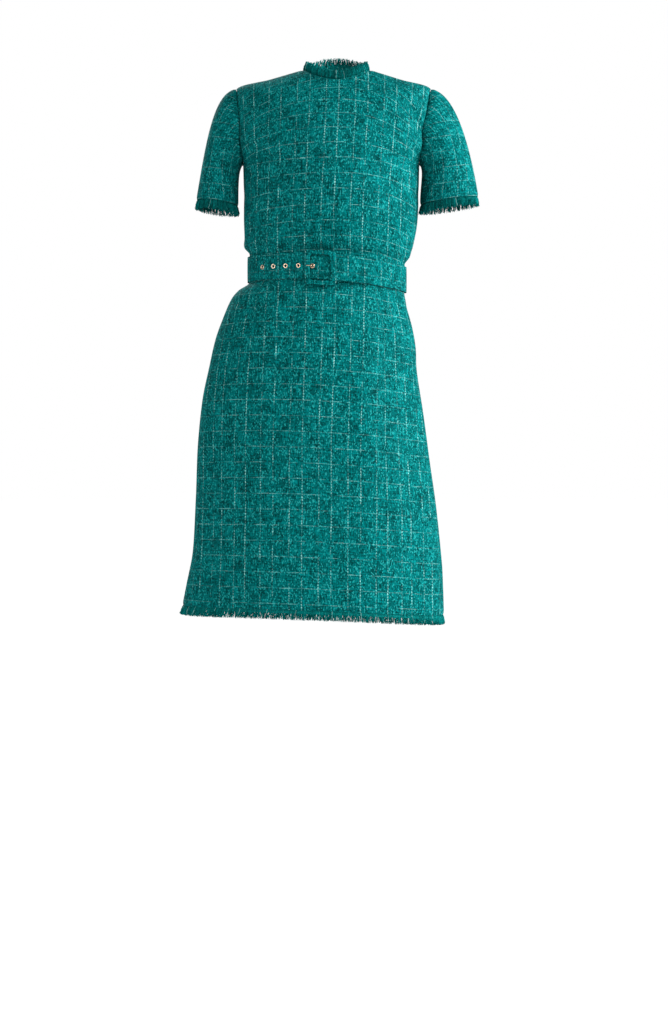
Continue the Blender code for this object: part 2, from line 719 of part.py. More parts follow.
def make_zip(finish):
    wide, long, thick = SLIDER
    tunnel_long, tunnel_high = TUNNEL
    place = zip_place()
    place_m = Matrix.Translation(place.translation * MM) @ place.to_quaternion().to_matrix().to_4x4()
    top = SEAM_GAP + thick
    behind = tunnel_long / 2 + BRIDGE_WALL

    bm = bmesh.new()
    shoulder = 0.62 * wide / 2
    outline = [(-shoulder, -behind), (shoulder, -behind), (wide / 2, 1.0), (wide / 2, long - behind - 1.2)]
    outline += [(shoulder, long - behind), (-shoulder, long - behind), (-wide / 2, long - behind - 1.2), (-wide / 2, 1.0)]
    face = bm.faces.new([bm.verts.new((x, y, SEAM_GAP)) for x, y in outline])
    raised = bmesh.ops.extrude_face_region(bm, geom=[face])
    bmesh.ops.translate(
        bm, vec=(0, 0, thick), verts=[v for v in raised["geom"] if isinstance(v, bmesh.types.BMVert)]
    )
    slider = add_object("zip_slider", bm, finish)
    slider.matrix_world = place_m
    for name, half_wide, low, high, operation in (
        ("zip_bridge", BRIDGE_WIDE / 2, (-behind, top - 0.4), (behind, top + tunnel_high + 0.8), "UNION"),
        ("zip_tunnel", wide, (-tunnel_long / 2, top), (tunnel_long / 2, top + tunnel_high), "DIFFERENCE"),
    ):
        bm = bmesh.new()
        box(bm, (-half_wide, *low), (half_wide, *high))
        cutter = add_object(name, bm, finish)
        bpy.context.collection.objects.unlink(cutter)
        cutter.matrix_world = place_m
        hide_cutter(slider, cutter, operation)

    half = PULL_THICK / 2
    bm = bmesh.new()
    outline = [(-PULL_TOP, half), (PULL_TOP, half), (PULL_TOP + 0.1, -6.0), (PULL_END, -13.5)]
    outline += [(PULL_END * math.cos(a), -PULL_LENGTH + PULL_END * (1 - math.sin(a))) for a in (0.0, 0.6, 1.2)]
    outline += [(-x, y) for x, y in reversed(outline[2:])]
    face = bm.faces.new([bm.verts.new((x, y, -half)) for x, y in outline])
    raised = bmesh.ops.extrude_face_region(bm, geom=[face])
    bmesh.ops.translate(
        bm, vec=(0, 0, PULL_THICK), verts=[v for v in raised["geom"] if isinstance(v, bmesh.types.BMVert)]
    )
    pull = add_object("zip_pull", bm, finish)
    axis = Matrix.Translation((0, 0, (top + tunnel_high / 2) * MM))
    pull.matrix_world = place_m @ axis @ Matrix.Rotation(math.radians(PULL_TILT), 4, "X")
    bm = bmesh.new()
    slot_wide, slot_long = PULL_SLOT
    box(bm, (-slot_wide / 2, -half - slot_long, -2 * half), (slot_wide / 2, -half, 2 * half))
    cutter = add_object("zip_pull_slot", bm, finish)
    bpy.context.collection.objects.unlink(cutter)
    cutter.matrix_world = pull.matrix_world
    hide_cutter(pull, cutter, "DIFFERENCE")


def main():
    for old in list(bpy.data.objects):
        bpy.data.objects.remove(old)
    tweed = material("tweed", TWEED, 0.9)
    frayed = material("frayed_tweed", TRIM, 0.95)
    gold = material("rose_gold_plate", GOLD, 0.25, 1.0)
    enamel = material("zip_enamel", ZIP_ENAMEL, 0.4)
    make_bodice(tweed)
    make_skirt(tweed)
    for name, cuff in CUFFS.items():
        make_sleeve(name, cuff, tweed)
    make_trims(frayed)
    make_belt(tweed)
    make_eyelets(gold)
    make_buckle(tweed, gold)
    make_zip(enamel)


main()
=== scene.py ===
# %% [markdown]
# A worn tweed sheath dress
#
# This file dresses a finished frame. The frame holds the dress as plain solids at real size, one for each piece
# that a maker cuts. Here each of them gets its looks: cloth with a weave and a check, frayed edges made of
# threads, a covered buckle and bright eyelets. Read it from the top, a cell at a time. Most cells print what
# they made, so you can follow along in Blender's own text editor.

# %% Load the frame
import math
from collections import namedtuple
from functools import partial

import bpy
import numpy as np
from mathutils import Matrix, Vector


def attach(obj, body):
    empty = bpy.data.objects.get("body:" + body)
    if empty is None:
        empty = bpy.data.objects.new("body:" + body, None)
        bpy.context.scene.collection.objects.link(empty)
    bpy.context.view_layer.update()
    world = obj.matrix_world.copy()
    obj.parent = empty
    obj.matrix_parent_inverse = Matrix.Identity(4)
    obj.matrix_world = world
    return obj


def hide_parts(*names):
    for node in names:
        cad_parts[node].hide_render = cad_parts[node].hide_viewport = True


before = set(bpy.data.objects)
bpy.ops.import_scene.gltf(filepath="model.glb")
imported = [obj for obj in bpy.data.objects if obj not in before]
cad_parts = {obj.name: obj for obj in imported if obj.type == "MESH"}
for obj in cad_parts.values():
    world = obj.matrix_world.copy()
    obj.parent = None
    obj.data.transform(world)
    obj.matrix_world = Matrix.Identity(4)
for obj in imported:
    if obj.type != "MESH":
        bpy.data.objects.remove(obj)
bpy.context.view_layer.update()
BODY = "dress"
PULL = "zip_pull"
MM = 0.001

# %% [markdown]
# The camera
#
# The photograph shows the whole dress from straight ahead, from about hip height. One of its pixels is about
# 1.72 mm at the middle of the figure, so the height of the picture gives the lens. The camera could be moved
# until it looks right, but working it out keeps the dress at its real size in the frame.

# %% Place the camera
PICTURE_WIDE, PICTURE_HIGH = 668, 1024
PIXEL = 1.72  # mm at the middle of the figure
ORIGIN_COLUMN, ORIGIN_ROW = 336.5, 72  # where the picture shows the frame's origin
EYE_ROW = 440  # the row that is level with the lens
DISTANCE = 3600  # mm from the lens to the middle of the figure
SENSOR = 36.0

eye = Vector(((PICTURE_WIDE / 2 - ORIGIN_COLUMN) * PIXEL, -DISTANCE, (ORIGIN_ROW - EYE_ROW) * PIXEL))
aim = Vector((eye.x, 0, (ORIGIN_ROW - PICTURE_HIGH / 2) * PIXEL))
bpy.ops.object.camera_add(location=eye * MM)
camera = bpy.context.object
camera.rotation_euler = (aim - eye).to_track_quat("-Z", "Y").to_euler()
camera.data.sensor_width = SENSOR
camera.data.lens = SENSOR * (aim - eye).length / (PICTURE_HIGH * PIXEL)
bpy.context.scene.camera = camera
print("lens, mm:", round(camera.data.lens, 1))

# %% [markdown]
# Floor and light
#
# A shop picture of clothes is taken on white paper that is lit by itself, so that it goes white all over. The
# cloth gets its own, softer light from above. Its brightest lamp stands almost square to the right side, which
# is why the dress is twice as bright there as in front. One big lamp in front would be easier, but it would
# flatten the folds. Here the paper and the room are white only where the lens looks straight at them.

# %% Build the studio
FLOOR_BELOW = -1595  # mm from the frame's origin to the ground
ROOM_SEEN, ROOM_LIGHT = 1.0, 0.18  # how bright the room looks, and how much light it gives
PAPER_GLOW = 0.85


def added(operator, **settings):
    """The object that an operator of Blender's Add menu makes, with nothing else selected."""
    bpy.ops.object.select_all(action="DESELECT")
    operator(**settings)
    return bpy.context.object


def colour(text):
    """An sRGB hex colour as the linear numbers that a shader wants."""
    parts = [int(text[i : i + 2], 16) / 255 for i in (1, 3, 5)]
    return [c / 12.92 if c <= 0.04045 else ((c + 0.055) / 1.055) ** 2.4 for c in parts]


def node(material, kind, *sockets, **settings):
    """One shader node. Its kind may be followed by its operation. sockets are values in the order of its inputs,
    or one dictionary of them: plain values, outputs, or nodes, which stand for their first output in use."""
    kind, _, operation = kind.partition(" ")
    made = material.node_tree.nodes.new("ShaderNode" + kind)
    if operation:
        settings["operation"] = operation
    for name, value in settings.items():
        setattr(made, name, value)
    named = sockets and isinstance(sockets[0], dict)
    for socket, value in (sockets[0] if named else dict(enumerate(sockets))).items():
        if isinstance(value, bpy.types.Node):
            value = next(output for output in value.outputs if output.enabled)
        if isinstance(value, bpy.types.NodeSocket):
            material.node_tree.links.new(value, made.inputs[socket])
        elif isinstance(value, list):
            made.inputs[socket].default_value = [*value, 1.0][: len(made.inputs[socket].default_value)]
        else:
            made.inputs[socket].default_value = value
    return made


def empty_material(name):
    """A material with nothing but an output."""
    made = bpy.data.materials.new(name)
    made.use_nodes = True
    made.node_tree.nodes.clear()
    return made


def surface(material, finish):
    """Joins one shader with these settings to the material's output."""
    node(material, "OutputMaterial", {"Surface": node(material, "BsdfPrincipled", finish)})


paper = empty_material("matt_studio_paper")
grain = node(paper, "TexNoise", {"Scale": 3.0, "Detail": 2.0})
tint = node(paper, "Mix", {0: grain, 6: colour("#f0f0f1"), 7: colour("#f4f4f4")}, data_type="RGBA")
seen = node(paper, "LightPath").outputs["Is Camera Ray"]
glow = node(paper, "Math MULTIPLY", seen, PAPER_GLOW)
white = colour("#ffffff")
surface(paper, {"Base Color": tint, "Roughness": 0.9, "Emission Color": white, "Emission Strength": glow})

floor = added(bpy.ops.mesh.primitive_plane_add, size=60, location=(0, 0, FLOOR_BELOW * MM))
floor.name = "studio_floor"
floor.data.materials.append(paper)

world = bpy.data.worlds.new("white_room")
world.use_nodes = True
room = world.node_tree.nodes["Background"]
seen = node(world, "LightPath").outputs["Is Camera Ray"]
bright = node(world, "MapRange", {"Value": seen, "To Min": ROOM_LIGHT, "To Max": ROOM_SEEN})
room.inputs[0].default_value = (*white, 1.0)
world.node_tree.links.new(bright.outputs[0], room.inputs[1])
bpy.context.scene.world = world
bpy.context.scene.view_settings.view_transform = "Standard"

Lamp = namedtuple("Lamp", "name x y z size watts")
LAMP_AIM = Vector((0, 0, -0.5))
LAMPS = [
    Lamp("key", 2.7, -0.55, 0.6, 1.2, 130),
    Lamp("front", 1.6, -2.6, 1.6, 1.2, 54),
    Lamp("fill", -2.7, -2.0, -0.2, 2.0, 37),
    Lamp("back", -1.2, 2.8, 1.6, 1.4, 90),
]
for lamp in LAMPS:
    place = Vector((lamp.x, lamp.y, lamp.z))
    made = added(bpy.ops.object.light_add, type="AREA", location=place)
    made.name = lamp.name
    made.data.size = lamp.size
    made.data.energy = lamp.watts
    made.rotation_euler = (LAMP_AIM - place).to_track_quat("-Z", "Y").to_euler()
print("lamps:", [lamp.name for lamp in LAMPS])

# %% [markdown]
# Tweed
#
# Tweed is woven from fluffy, uneven yarns, so no two squares of it match. Two things make it read as this
# cloth: a windowpane check of pale dashes, and a ground of many teals that sparkles in tiny specks. A picture
# of real cloth would be the quick way. Here each yarn is worked out instead from where a point lies on the cut
# piece: every piece carries a UV map called cloth, in metres along and across the grain, so that the check
# stops at the seams as it does on a real one. The warp lines come in pairs 21 mm and 28 mm apart, and the
# cross lines every 26 mm.

# %% Weave the tweed
CHECK_REPEAT = 48.8  # mm, a pair of upright lines
CHECK_SECOND = 21.0  # mm from the first line of a pair to the second
CHECK_LEVEL = 26.1  # mm between the cross lines
LINE_WIDE = 0.75  # half width of an upright line, mm
LEVEL_WIDE = 0.38  # half width of a cross line, mm
DASH, DASH_SHARE = 4.8, 0.55  # mm from dash to dash, and how much of that is pale
STITCH = 3.1  # mm, the cross lines' dashes
KNOT_WIDE, KNOT_HIGH = 1.5, 2.5  # mm, one yarn's turn on the face of the cloth: drawn a little larger than life
RIB = 3.4  # mm from rib to rib
WANDER = (2.2, 1.8, 0.0)  # mm, how far a yarn strays from its line
FLUFF = (2.6, 2.8, 0.0)  # mm, how far loose fibres reach over the next yarn
RUN_UP, RUN_ACROSS = 30.0, 22.0  # mm, how soon a line of the check grows stronger or weaker


def tweed(name, dark, middle, light, speck, line, check=1.0, uprights=1.0):
    """A woven tweed that reads the cloth UV map. check and uprights say how much its lines show."""
    made = empty_material(name)
    add = partial(node, made)

    place = add("UVMap", uv_map="cloth")
    size = add("VectorMath SCALE", {0: place, "Scale": 1 / MM})
    # yarns wander a little
    wander = add("TexNoise", {"Vector": size, "Scale": 0.03, "Detail": 2.0}).outputs["Color"]
    shift = add("VectorMath MULTIPLY_ADD", wander, WANDER, size)
    # and their fluff blurs where one turn of yarn ends and the next begins
    fluff = add("TexNoise", {"Vector": size, "Scale": 0.9, "Detail": 3.0}).outputs["Color"]
    fluffy = add("VectorMath MULTIPLY_ADD", fluff, FLUFF, shift)
    across, along = add("SeparateXYZ", fluffy).outputs[:2]

    # the ground: slubs along the warp and the weft, and soft patches
    def slub(x, y, detail):
        """Soft noise, drawn out along the cloth where x or y is small."""
        longer = add("VectorMath MULTIPLY", shift, (x, y, 1.0))
        return add("TexNoise", {"Vector": longer, "Detail": detail, "Scale": 1.0})

    def own_number(x, y):
        """A number of its own for each yarn and each turn of it."""
        return add("TexWhiteNoise", {"Vector": add("CombineXYZ", x, y)}, noise_dimensions="2D")

    slubs = add("Math ADD", slub(0.5, 0.05, 2.0), slub(0.06, 0.42, 1.0))
    patchy = add("Math MULTIPLY_ADD", slub(0.035, 0.03, 1.0), 0.5, slubs)
    # each turn of yarn has its own shade, and every other column sits half a turn higher
    column = add("Math FLOOR", add("Math DIVIDE", across, KNOT_WIDE))
    step = add("Math MULTIPLY_ADD", column, 0.5, add("Math DIVIDE", along, KNOT_HIGH))
    shade = own_number(column, add("Math FLOOR", step))
    level = add("Math MULTIPLY_ADD", shade, 0.62, patchy)
    ground = add("ValToRGB", add("MapRange", {"Value": level, "From Min": 1.05, "From Max": 2.1}))
    stops = ground.color_ramp.elements
    stops[0].position, stops[0].color = 0.1, (*colour(dark), 1.0)
    stops[1].position, stops[1].color = 0.9, (*colour(light), 1.0)
    stops.new(0.5).color = (*colour(middle), 1.0)
    # pale knots of fluff come in upright runs
    thin_out = {"Value": slub(0.32, 0.04, 1.0), "From Min": 0.35, "From Max": 0.65, "To Min": 0.97, "To Max": 0.8}
    knot = add("Math GREATER_THAN", shade, add("MapRange", thin_out))
    flecked = add("Mix", {0: add("Math MULTIPLY", knot, 0.5), 6: ground, 7: colour(speck)}, data_type="RGBA")

    # the check: how strongly each line shows changes along it, and no two lines are alike
    def line_at(position, repeat, start, wide, seed, run, beat, brightest):
        turned = add("Math SUBTRACT", position, start)
        number = add("Math ROUND", add("Math DIVIDE", turned, repeat))
        nearest = add("Math MULTIPLY", number, repeat)
        on_line = add("Math COMPARE", turned, nearest, wide)
        key = add("Math MULTIPLY_ADD", number, 7.31, seed)
        fade = add("TexNoise", {"Vector": add("CombineXYZ", key, run), "Scale": 1.0, "Detail": 2.0})
        fading = add("MapRange", {"Value": fade, "From Min": 0.41, "From Max": 0.65, "To Max": brightest})
        own = own_number(key, add("Math FLOOR", beat))
        uneven = add("MapRange", {"Value": own, "To Min": 0.3})
        return add("Math MULTIPLY", on_line, add("Math MULTIPLY", fading, uneven))

    beat = add("Math DIVIDE", along, DASH)
    side_beat = add("Math DIVIDE", across, STITCH)
    up_run, side_run = add("Math DIVIDE", along, RUN_UP), add("Math DIVIDE", across, RUN_ACROSS)
    first = line_at(across, CHECK_REPEAT, 0.0, LINE_WIDE, 3.7, up_run, beat, 0.9)
    second = line_at(across, CHECK_REPEAT, CHECK_SECOND, LINE_WIDE, 31.3, up_run, beat, 1.25)
    cross = line_at(along, CHECK_LEVEL, 0.0, LEVEL_WIDE, 57.9, side_run, side_beat, 0.75)
    gap = {"From Min": DASH_SHARE, "From Max": DASH_SHARE + 0.08, "To Min": 1.0, "To Max": 0.05}
    gap["Value"] = add("Math FRACT", beat)
    dash = add("Math MULTIPLY", add("MapRange", gap), uprights)
    dashed = add("Math MULTIPLY", add("Math MAXIMUM", first, second), dash)
    checks = add("Math MULTIPLY", add("Math MAXIMUM", dashed, cross), check)
    woven = add("Mix", {0: add("Math MINIMUM", checks, 0.95), 6: flecked, 7: colour(line)}, data_type="RGBA")

    # the relief: ribs, loops of fluff and the raised check
    rib = add("Math SINE", add("Math MULTIPLY", across, math.tau / RIB))
    ribbed = add("Math MULTIPLY_ADD", rib, 0.1, level)
    knotted = add("Math MULTIPLY_ADD", knot, 0.35, ribbed)
    height = add("Math MULTIPLY_ADD", checks, 0.25, knotted)
    finish = {
        "Base Color": woven,
        "Normal": add("Bump", {"Height": height, "Strength": 0.55, "Distance": 0.5 * MM}),
        "Roughness": 0.78,
        "Specular IOR Level": 0.02,
        "Sheen Weight": 0.03,
        "Sheen Roughness": 0.4,
        "Sheen Tint": colour("#3fc4c0"),
    }
    surface(made, finish)
    return made


TEAL = dict(dark="#003838", middle="#005f5f", light="#008383", speck="#2fb0ad", line="#8edad5")
dress_cloth = tweed("boucle_tweed", **TEAL)
belt_cloth = tweed("boucle_tweed_on_belt", **TEAL, check=0.55)
sleeve_cloth = tweed("boucle_tweed_on_sleeves", **TEAL, uprights=0.55)
# a darker copy of the tweed: painted shade for the belt's and the buckle's edges and the eyelet holes, where shadow
# falls
PAINTED_SHADE_TEAL = dict(dark="#001f1f", middle="#003636", light="#004c4c", speck="#0f6866", line="#3c8b88")
painted_shade_cloth = tweed("boucle_tweed_painted_shade", **PAINTED_SHADE_TEAL, check=0.3)
print("materials:", [m.name for m in bpy.data.materials if "tweed" in m.name])

# %% [markdown]
# The shape of the cloth
#
# A fitted dress is a stack of loops round the figure: some wide, some narrow, each a little out of the one
# below. A table of a few measured loops and a smooth curve through each column gives any point of the cloth.
# The angle goes round, 0 at the centre front and 90 at the wearer's left side. Modelling by hand could get
# there too, but a table keeps the two sides, the seams and the belt in step with the frame's solids.

# %% Loops round the figure
CLOTH = 1.8  # mm, the wall of the tweed
WAIST_Z = -340
HEM_BAND = 6.0  # mm, the woven part of each frayed strip
Loop = namedtuple("Loop", "along z_front z_side z_back centre half front back drop")


def level_loop(along, rise, *rest):
    """A loop whose front, side and back are at one height, so many mm above the waist."""
    return Loop(along, *[WAIST_Z + rise] * 3, *rest)


BODICE = [
    level_loop(0, 0, -16, 132.5, 96, 84, 17),
    level_loop(24, 24, -16, 132.8, 96.3, 84.3, 17),
    level_loop(36, 36, -16, 142, 106, 92, 15),
    level_loop(52, 52, -13, 144.5, 111, 94, 12),
    level_loop(86, 86, -10, 148.5, 121, 97, 6),
    level_loop(120, 120, -9, 149.5, 123.5, 100, 2),
    level_loop(172, 172, -9, 150.5, 118, 103, 0),
    Loop(212, -131, -128, -127, -9, 170, 111, 104, 0),
    Loop(262, -99, -80, -84, -7, 176, 103, 100, 0),
    Loop(309, -73, -35, -48, -5, 166, 93, 90, 0),
    Loop(364, -51, -19, -18, -2, 112, 80, 76, 0),
    Loop(421, -27, -3, 12, 0, 59, 62, 58, 0),
]
SKIRT_OVALS = [
    (0, -16, 132.5, 96, 84),
    (24, -16.5, 132.8, 96.3, 84.5),
    (38, -25, 143.5, 97.2, 96),
    (52, -29.5, 150.5, 102, 103),
    (86, -32.3, 162.7, 111.5, 112),
    (121, -35.7, 171.8, 118, 120),
    (155, -39, 176.5, 121, 125),
    (224, -41, 189, 125, 129),
    (293, -40, 197.5, 128, 129),
    (396, -35, 207, 133, 132),
    (482, -33, 214, 138, 139),
    (540, -37, 221, 143, 145),
    (575, -40, 225, 146, 148),
]
SKIRT = [level_loop(along, -along, *oval, 17) for along, *oval in SKIRT_OVALS]
NECK, HEM = BODICE[-1].along, SKIRT[-1].along


def read(table, column, along):
    """A column's values at some distances along the table, on a curve that never overshoots its rows."""
    xs = np.array([row.along for row in table], float)
    ys = np.array([getattr(row, column) for row in table], float)
    steps = np.diff(ys) / np.diff(xs)
    slopes = np.zeros(len(xs))
    before, after = steps[:-1], steps[1:]
    same = before * after > 0
    slopes[1:-1][same] = 2 * before[same] * after[same] / (before[same] + after[same])
    slopes[0], slopes[-1] = steps[0], steps[-1]
    i = np.clip(np.searchsorted(xs, along, side="right") - 1, 0, len(xs) - 2)
    wide = xs[i + 1] - xs[i]
    t = (along - xs[i]) / wide
    return (
        ys[i] * (2 * t**3 - 3 * t**2 + 1)
        + slopes[i] * wide * (t**3 - 2 * t**2 + t)
        + ys[i + 1] * (3 * t**2 - 2 * t**3)
        + slopes[i + 1] * wide * (t**3 - t**2)
    )


def on_loop(loop, angle):
    """Points of a loop, or of a loop whose columns are whole arrays, at some angles."""
    s, c = np.sin(np.radians(angle)), np.cos(np.radians(angle))
    depth = np.where(c > 0, loop.front, loop.back)
    middle = np.where(c > 0, loop.z_front, loop.z_back)
    lean = 0.5 * (s + s * s)
    z = loop.z_side + (middle - loop.z_side) * c * c - loop.drop * lean
    return np.stack([loop.centre + loop.half * s, -depth * c, z], -1)


def plain(table, angle, along):
    """The cloth with no folds."""
    columns = {name: read(table, name, along) for name in Loop._fields if name != "along"}
    return on_loop(Loop(along=along, **columns), angle)


def unit(vectors):
    return vectors / np.linalg.norm(vectors, axis=-1, keepdims=True)


def outward(surface, angle, along, way=1):
    """The outward direction of a surface of angle and distance. way is -1 where along runs down."""
    across = surface(angle + 0.5, along) - surface(angle - 0.5, along)
    up = surface(angle, along + 0.5) - surface(angle, along - 0.5)
    return unit(way * np.cross(across, up))


print("bodice loops:", len(BODICE), "skirt loops:", len(SKIRT))

# %% [markdown]
# Folds, darts and drag lines
#
# Cloth that fits is never smooth. A dart is a sewn tuck: a sharp line that fades into a dimple. Drag lines run
# from where the cloth is held towards where it is pulled, and a skirt falls in a few long soft folds. Cloth
# simulation could make these, but it moves the seams too. A fold here is a line on the cloth with a width and
# a depth, and they are as uneven as on the real dress.

# %% Tables of folds
Fold = namedtuple("Fold", "name angle z end_angle end_z width depth")
BODICE_FOLDS = [
    Fold("right_armpit", -66, -142, -38, -158, 12, -4.0),
    Fold("left_chest", 42, -70, 60, -116, 12, -4.5),
    Fold("back_hollow", 150, -286, 212, -282, 11, -3.0),
    Fold("back_hollow_upper", 204, -258, 158, -262, 12, -2.5),
    Fold("right_dart", -88, -214, -44, -232, 12, -1.6),
    Fold("left_dart", 88, -214, 44, -232, 12, -1.6),
    Fold("right_blade", 205, -120, 214, -215, 22, -2.5),
    Fold("left_blade", 155, -125, 147, -210, 22, -2.2),
]
SKIRT_FOLDS = [
    Fold("left_ridge", 33, -385, 21, -915, 20, 3.5),
    Fold("right_trough", -15, -385, -17, -560, 15, -2.2),
    Fold("right_ridge", -27, -430, -24, -930, 20, 2.5),
    Fold("centre_trough", 4, -560, 2, -930, 26, -2.5),
    Fold("right_side_trough", -58, -640, -54, -930, 24, -4.0),
    Fold("left_side_trough", 57, -600, 50, -930, 24, -4.0),
    Fold("back_left_trough", 152, -560, 148, -930, 26, -5.0),
    Fold("back_right_trough", 207, -600, 212, -930, 26, -4.5),
    Fold("back_left_ridge", 128, -520, 126, -930, 24, 3.5),
    Fold("back_right_ridge", 232, -560, 234, -930, 24, 3.0),
]
BODICE_CREASES = [
    Fold("right_dart_line", -89, -214, -52, -229, 1.6, -1.3),
    Fold("left_dart_line", 89, -214, 52, -229, 1.6, -1.3),
    Fold("right_armpit_edge", -76, -164, -43, -132, 3.5, -3.6),
    Fold("right_armpit_roll", -68, -172, -40, -146, 7, 2.2),
    Fold("right_armpit_lower", -72, -186, -50, -190, 6, -2.2),
    Fold("left_armhole_drag", 47, -72, 61, -106, 5, -2.8),
    Fold("left_armpit_edge", 72, -156, 52, -138, 4, -2.6),
    Fold("left_armpit_lower", 68, -170, 50, -182, 6, -2.4),
    Fold("left_bust_pull", 64, -196, 47, -208, 5, -2.0),
    Fold("left_rib_wrinkle", 58, -262, 74, -270, 4, -2.3),
    Fold("left_rib_wrinkle_low", 52, -280, 80, -287, 5, -2.5),
    Fold("right_rib_wrinkle", -50, -274, -78, -280, 5, -2.2),
    Fold("waist_pucker_right", -34, -306, -37, -284, 4, -1.8),
    Fold("waist_pucker_left", 26, -305, 29, -280, 4, -1.9),
    Fold("waist_pucker_far_left", 47, -305, 44, -288, 4, -1.7),
    Fold("back_dart_left", 146, -318, 148, -190, 1.6, -1.2),
    Fold("back_dart_right", 214, -318, 212, -190, 1.6, -1.2),
    Fold("back_low_wrinkle", 166, -300, 201, -303, 5, -1.8),
    Fold("back_side_left", 112, -150, 132, -176, 6, -1.6),
    Fold("back_side_right", 246, -146, 226, -172, 6, -1.5),
]
SKIRT_CREASES = [
    Fold("front_dart_left", 38, -364, 41.5, -448, 1.6, -1.3),
    Fold("front_dart_right", -45.5, -364, -37.5, -450, 1.6, -1.3),
    Fold("back_dart_left", 146, -364, 149, -470, 1.6, -1.3),
    Fold("back_dart_right", 214, -364, 211, -470, 1.6, -1.3),
    Fold("belly_pull", -34, -404, -8, -410, 7, -1.6),
    Fold("left_hip_pull", 44, -402, 70, -398, 6, -2.0),
    Fold("right_hip_pull", -52, -404, -76, -398, 6, -2.1),
    Fold("back_seat_pull_left", 122, -418, 150, -428, 8, -1.4),
    Fold("back_seat_pull_right", 236, -414, 206, -430, 8, -1.3),
]
BODICE_RADIUS, SKIRT_RADIUS = 125.0, 175.0  # mm, to turn degrees round the figure into mm


def fold_height(folds, radius, angle, z):
    """How far the folds move the cloth out, in mm."""
    height = np.zeros(np.shape(angle))
    for fold in folds:
        x, y = np.radians((angle - fold.angle + 180) % 360 - 180) * radius, z - fold.z
        run, rise = math.radians(fold.end_angle - fold.angle) * radius, fold.end_z - fold.z
        t = np.clip((x * run + y * rise) / (run * run + rise * rise), 0, 1)
        away = np.hypot(x - t * run, y - t * rise) / fold.width
        # a fold is deepest in its middle and fades towards its ends
        ends = np.sin(math.pi * (0.08 + 0.84 * t)) ** 0.6
        height += fold.depth * ends * np.exp(-away * away)
    return height


def folded(table, folds, radius, way, angle, along, creases=()):
    """Points of the cloth with its folds."""
    base = plain(table, angle, along)
    out = outward(partial(plain, table), angle, along, way)
    return base + out * fold_height([*folds, *creases], radius, angle, base[..., 2])[..., None]


bodice = partial(folded, BODICE, BODICE_FOLDS, BODICE_RADIUS, 1)
skirt = partial(folded, SKIRT, SKIRT_FOLDS, SKIRT_RADIUS, -1)
print("folds and creases:", len(BODICE_FOLDS + SKIRT_FOLDS + BODICE_CREASES + SKIRT_CREASES))

# %% [markdown]
# A cut piece of cloth
#
# Each panel starts as Blender's grid, because a woven cloth is a grid too. Its points are moved onto the
# surface, its UV map is laid out in metres along the grain of the cloth, and Solidify gives it the wall. Near
# its edges the cloth rolls in, because that is where a seam turns it under.

# %% Helpers for panels
SEAM_GAP = 0.3  # mm between two pieces
ROLL, ROLL_REACH = 1.1, 2.6  # mm that an edge turns in at a seam, and from how far away


def apply_all(piece):
    """Applies a piece's modifiers in order."""
    bpy.context.view_layer.objects.active = piece
    for modifier in list(piece.modifiers):
        bpy.ops.object.modifier_apply(modifier=modifier.name)


def new_grid(name, columns, rows):
    """A fresh grid, with each of its points' place across and up it, from 0 to 1."""
    piece = added(bpy.ops.mesh.primitive_grid_add, x_subdivisions=columns, y_subdivisions=rows, size=2)
    piece.name = piece.data.name = name
    flat = np.empty(len(piece.data.vertices) * 3)
    piece.data.vertices.foreach_get("co", flat)
    flat = (flat.reshape(-1, 3) + 1) / 2
    return piece, flat[:, 0], flat[:, 1]


def set_points(piece, points):
    """Moves a mesh's points, given in mm."""
    piece.data.vertices.foreach_set("co", (points * MM).ravel())
    piece.data.update()


def set_cloth_map(piece, across, along):
    """Writes the cloth UV map, in metres, from each point's place on the cut piece in mm."""
    layer = piece.data.uv_layers.active or piece.data.uv_layers.new()
    layer.name = "cloth"
    corner = np.empty(len(piece.data.loops), int)
    piece.data.loops.foreach_get("vertex_index", corner)
    layer.data.foreach_set("uv", (np.stack([across, along], -1)[corner] * MM).ravel())


def edit(piece):
    """Edit mode with nothing but this piece selected, and all of its mesh."""
    bpy.ops.object.select_all(action="DESELECT")
    piece.select_set(True)
    bpy.context.view_layer.objects.active = piece
    bpy.ops.object.mode_set(mode="EDIT")
    bpy.ops.mesh.select_all(action="SELECT")


def leave_edit():
    bpy.ops.object.mode_set(mode="OBJECT")


def merge(piece, reach):
    """Joins the points of a mesh that are within a reach in mm."""
    edit(piece)
    bpy.ops.mesh.remove_doubles(threshold=reach * MM)
    leave_edit()


def smooth(piece, angle=40):
    """Smooth shading, but for the edges that turn more than an angle."""
    piece.select_set(True)
    bpy.ops.object.shade_smooth_by_angle(angle=math.radians(angle))


def thicken(piece, thickness):
    """A wall on the inner side of a piece."""
    wall = piece.modifiers.new("wall", "SOLIDIFY")
    wall.thickness = thickness * MM
    wall.offset = -1.0
    apply_all(piece)


def soften(piece, width, angle):
    """Rounds the edges that turn more than an angle."""
    bevel = piece.modifiers.new("soften", "BEVEL")
    bevel.width = width * MM
    bevel.segments = 2
    bevel.limit_method = "ANGLE"
    bevel.angle_limit = math.radians(angle)
    apply_all(piece)


def add_piece(name, mesh):
    """A new object for a mesh, in the scene."""
    piece = bpy.data.objects.new(name, mesh)
    bpy.context.collection.objects.link(piece)
    return piece


def wear(piece, nodes, material, body=BODY):
    """Gives a piece its material, its body and the solids that it stands for."""
    piece.data.materials.clear()
    piece.data.materials.append(material)
    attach(piece, body)
    if nodes:
        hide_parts(*nodes)


def paint_edge_shade(piece, heights, below):
    """Gives the faces that lie under a height in mm the darker cloth of painted shade. heights has one number a
    point.
    """
    piece.data.materials.append(painted_shade_cloth)
    for face in piece.data.polygons:
        if np.mean(heights[list(face.vertices)]) < below:
            face.material_index = 1


def rolled(distance):
    """How far an edge has turned in, at a distance from it in mm."""
    return -ROLL * np.exp(-((distance / ROLL_REACH) ** 2))


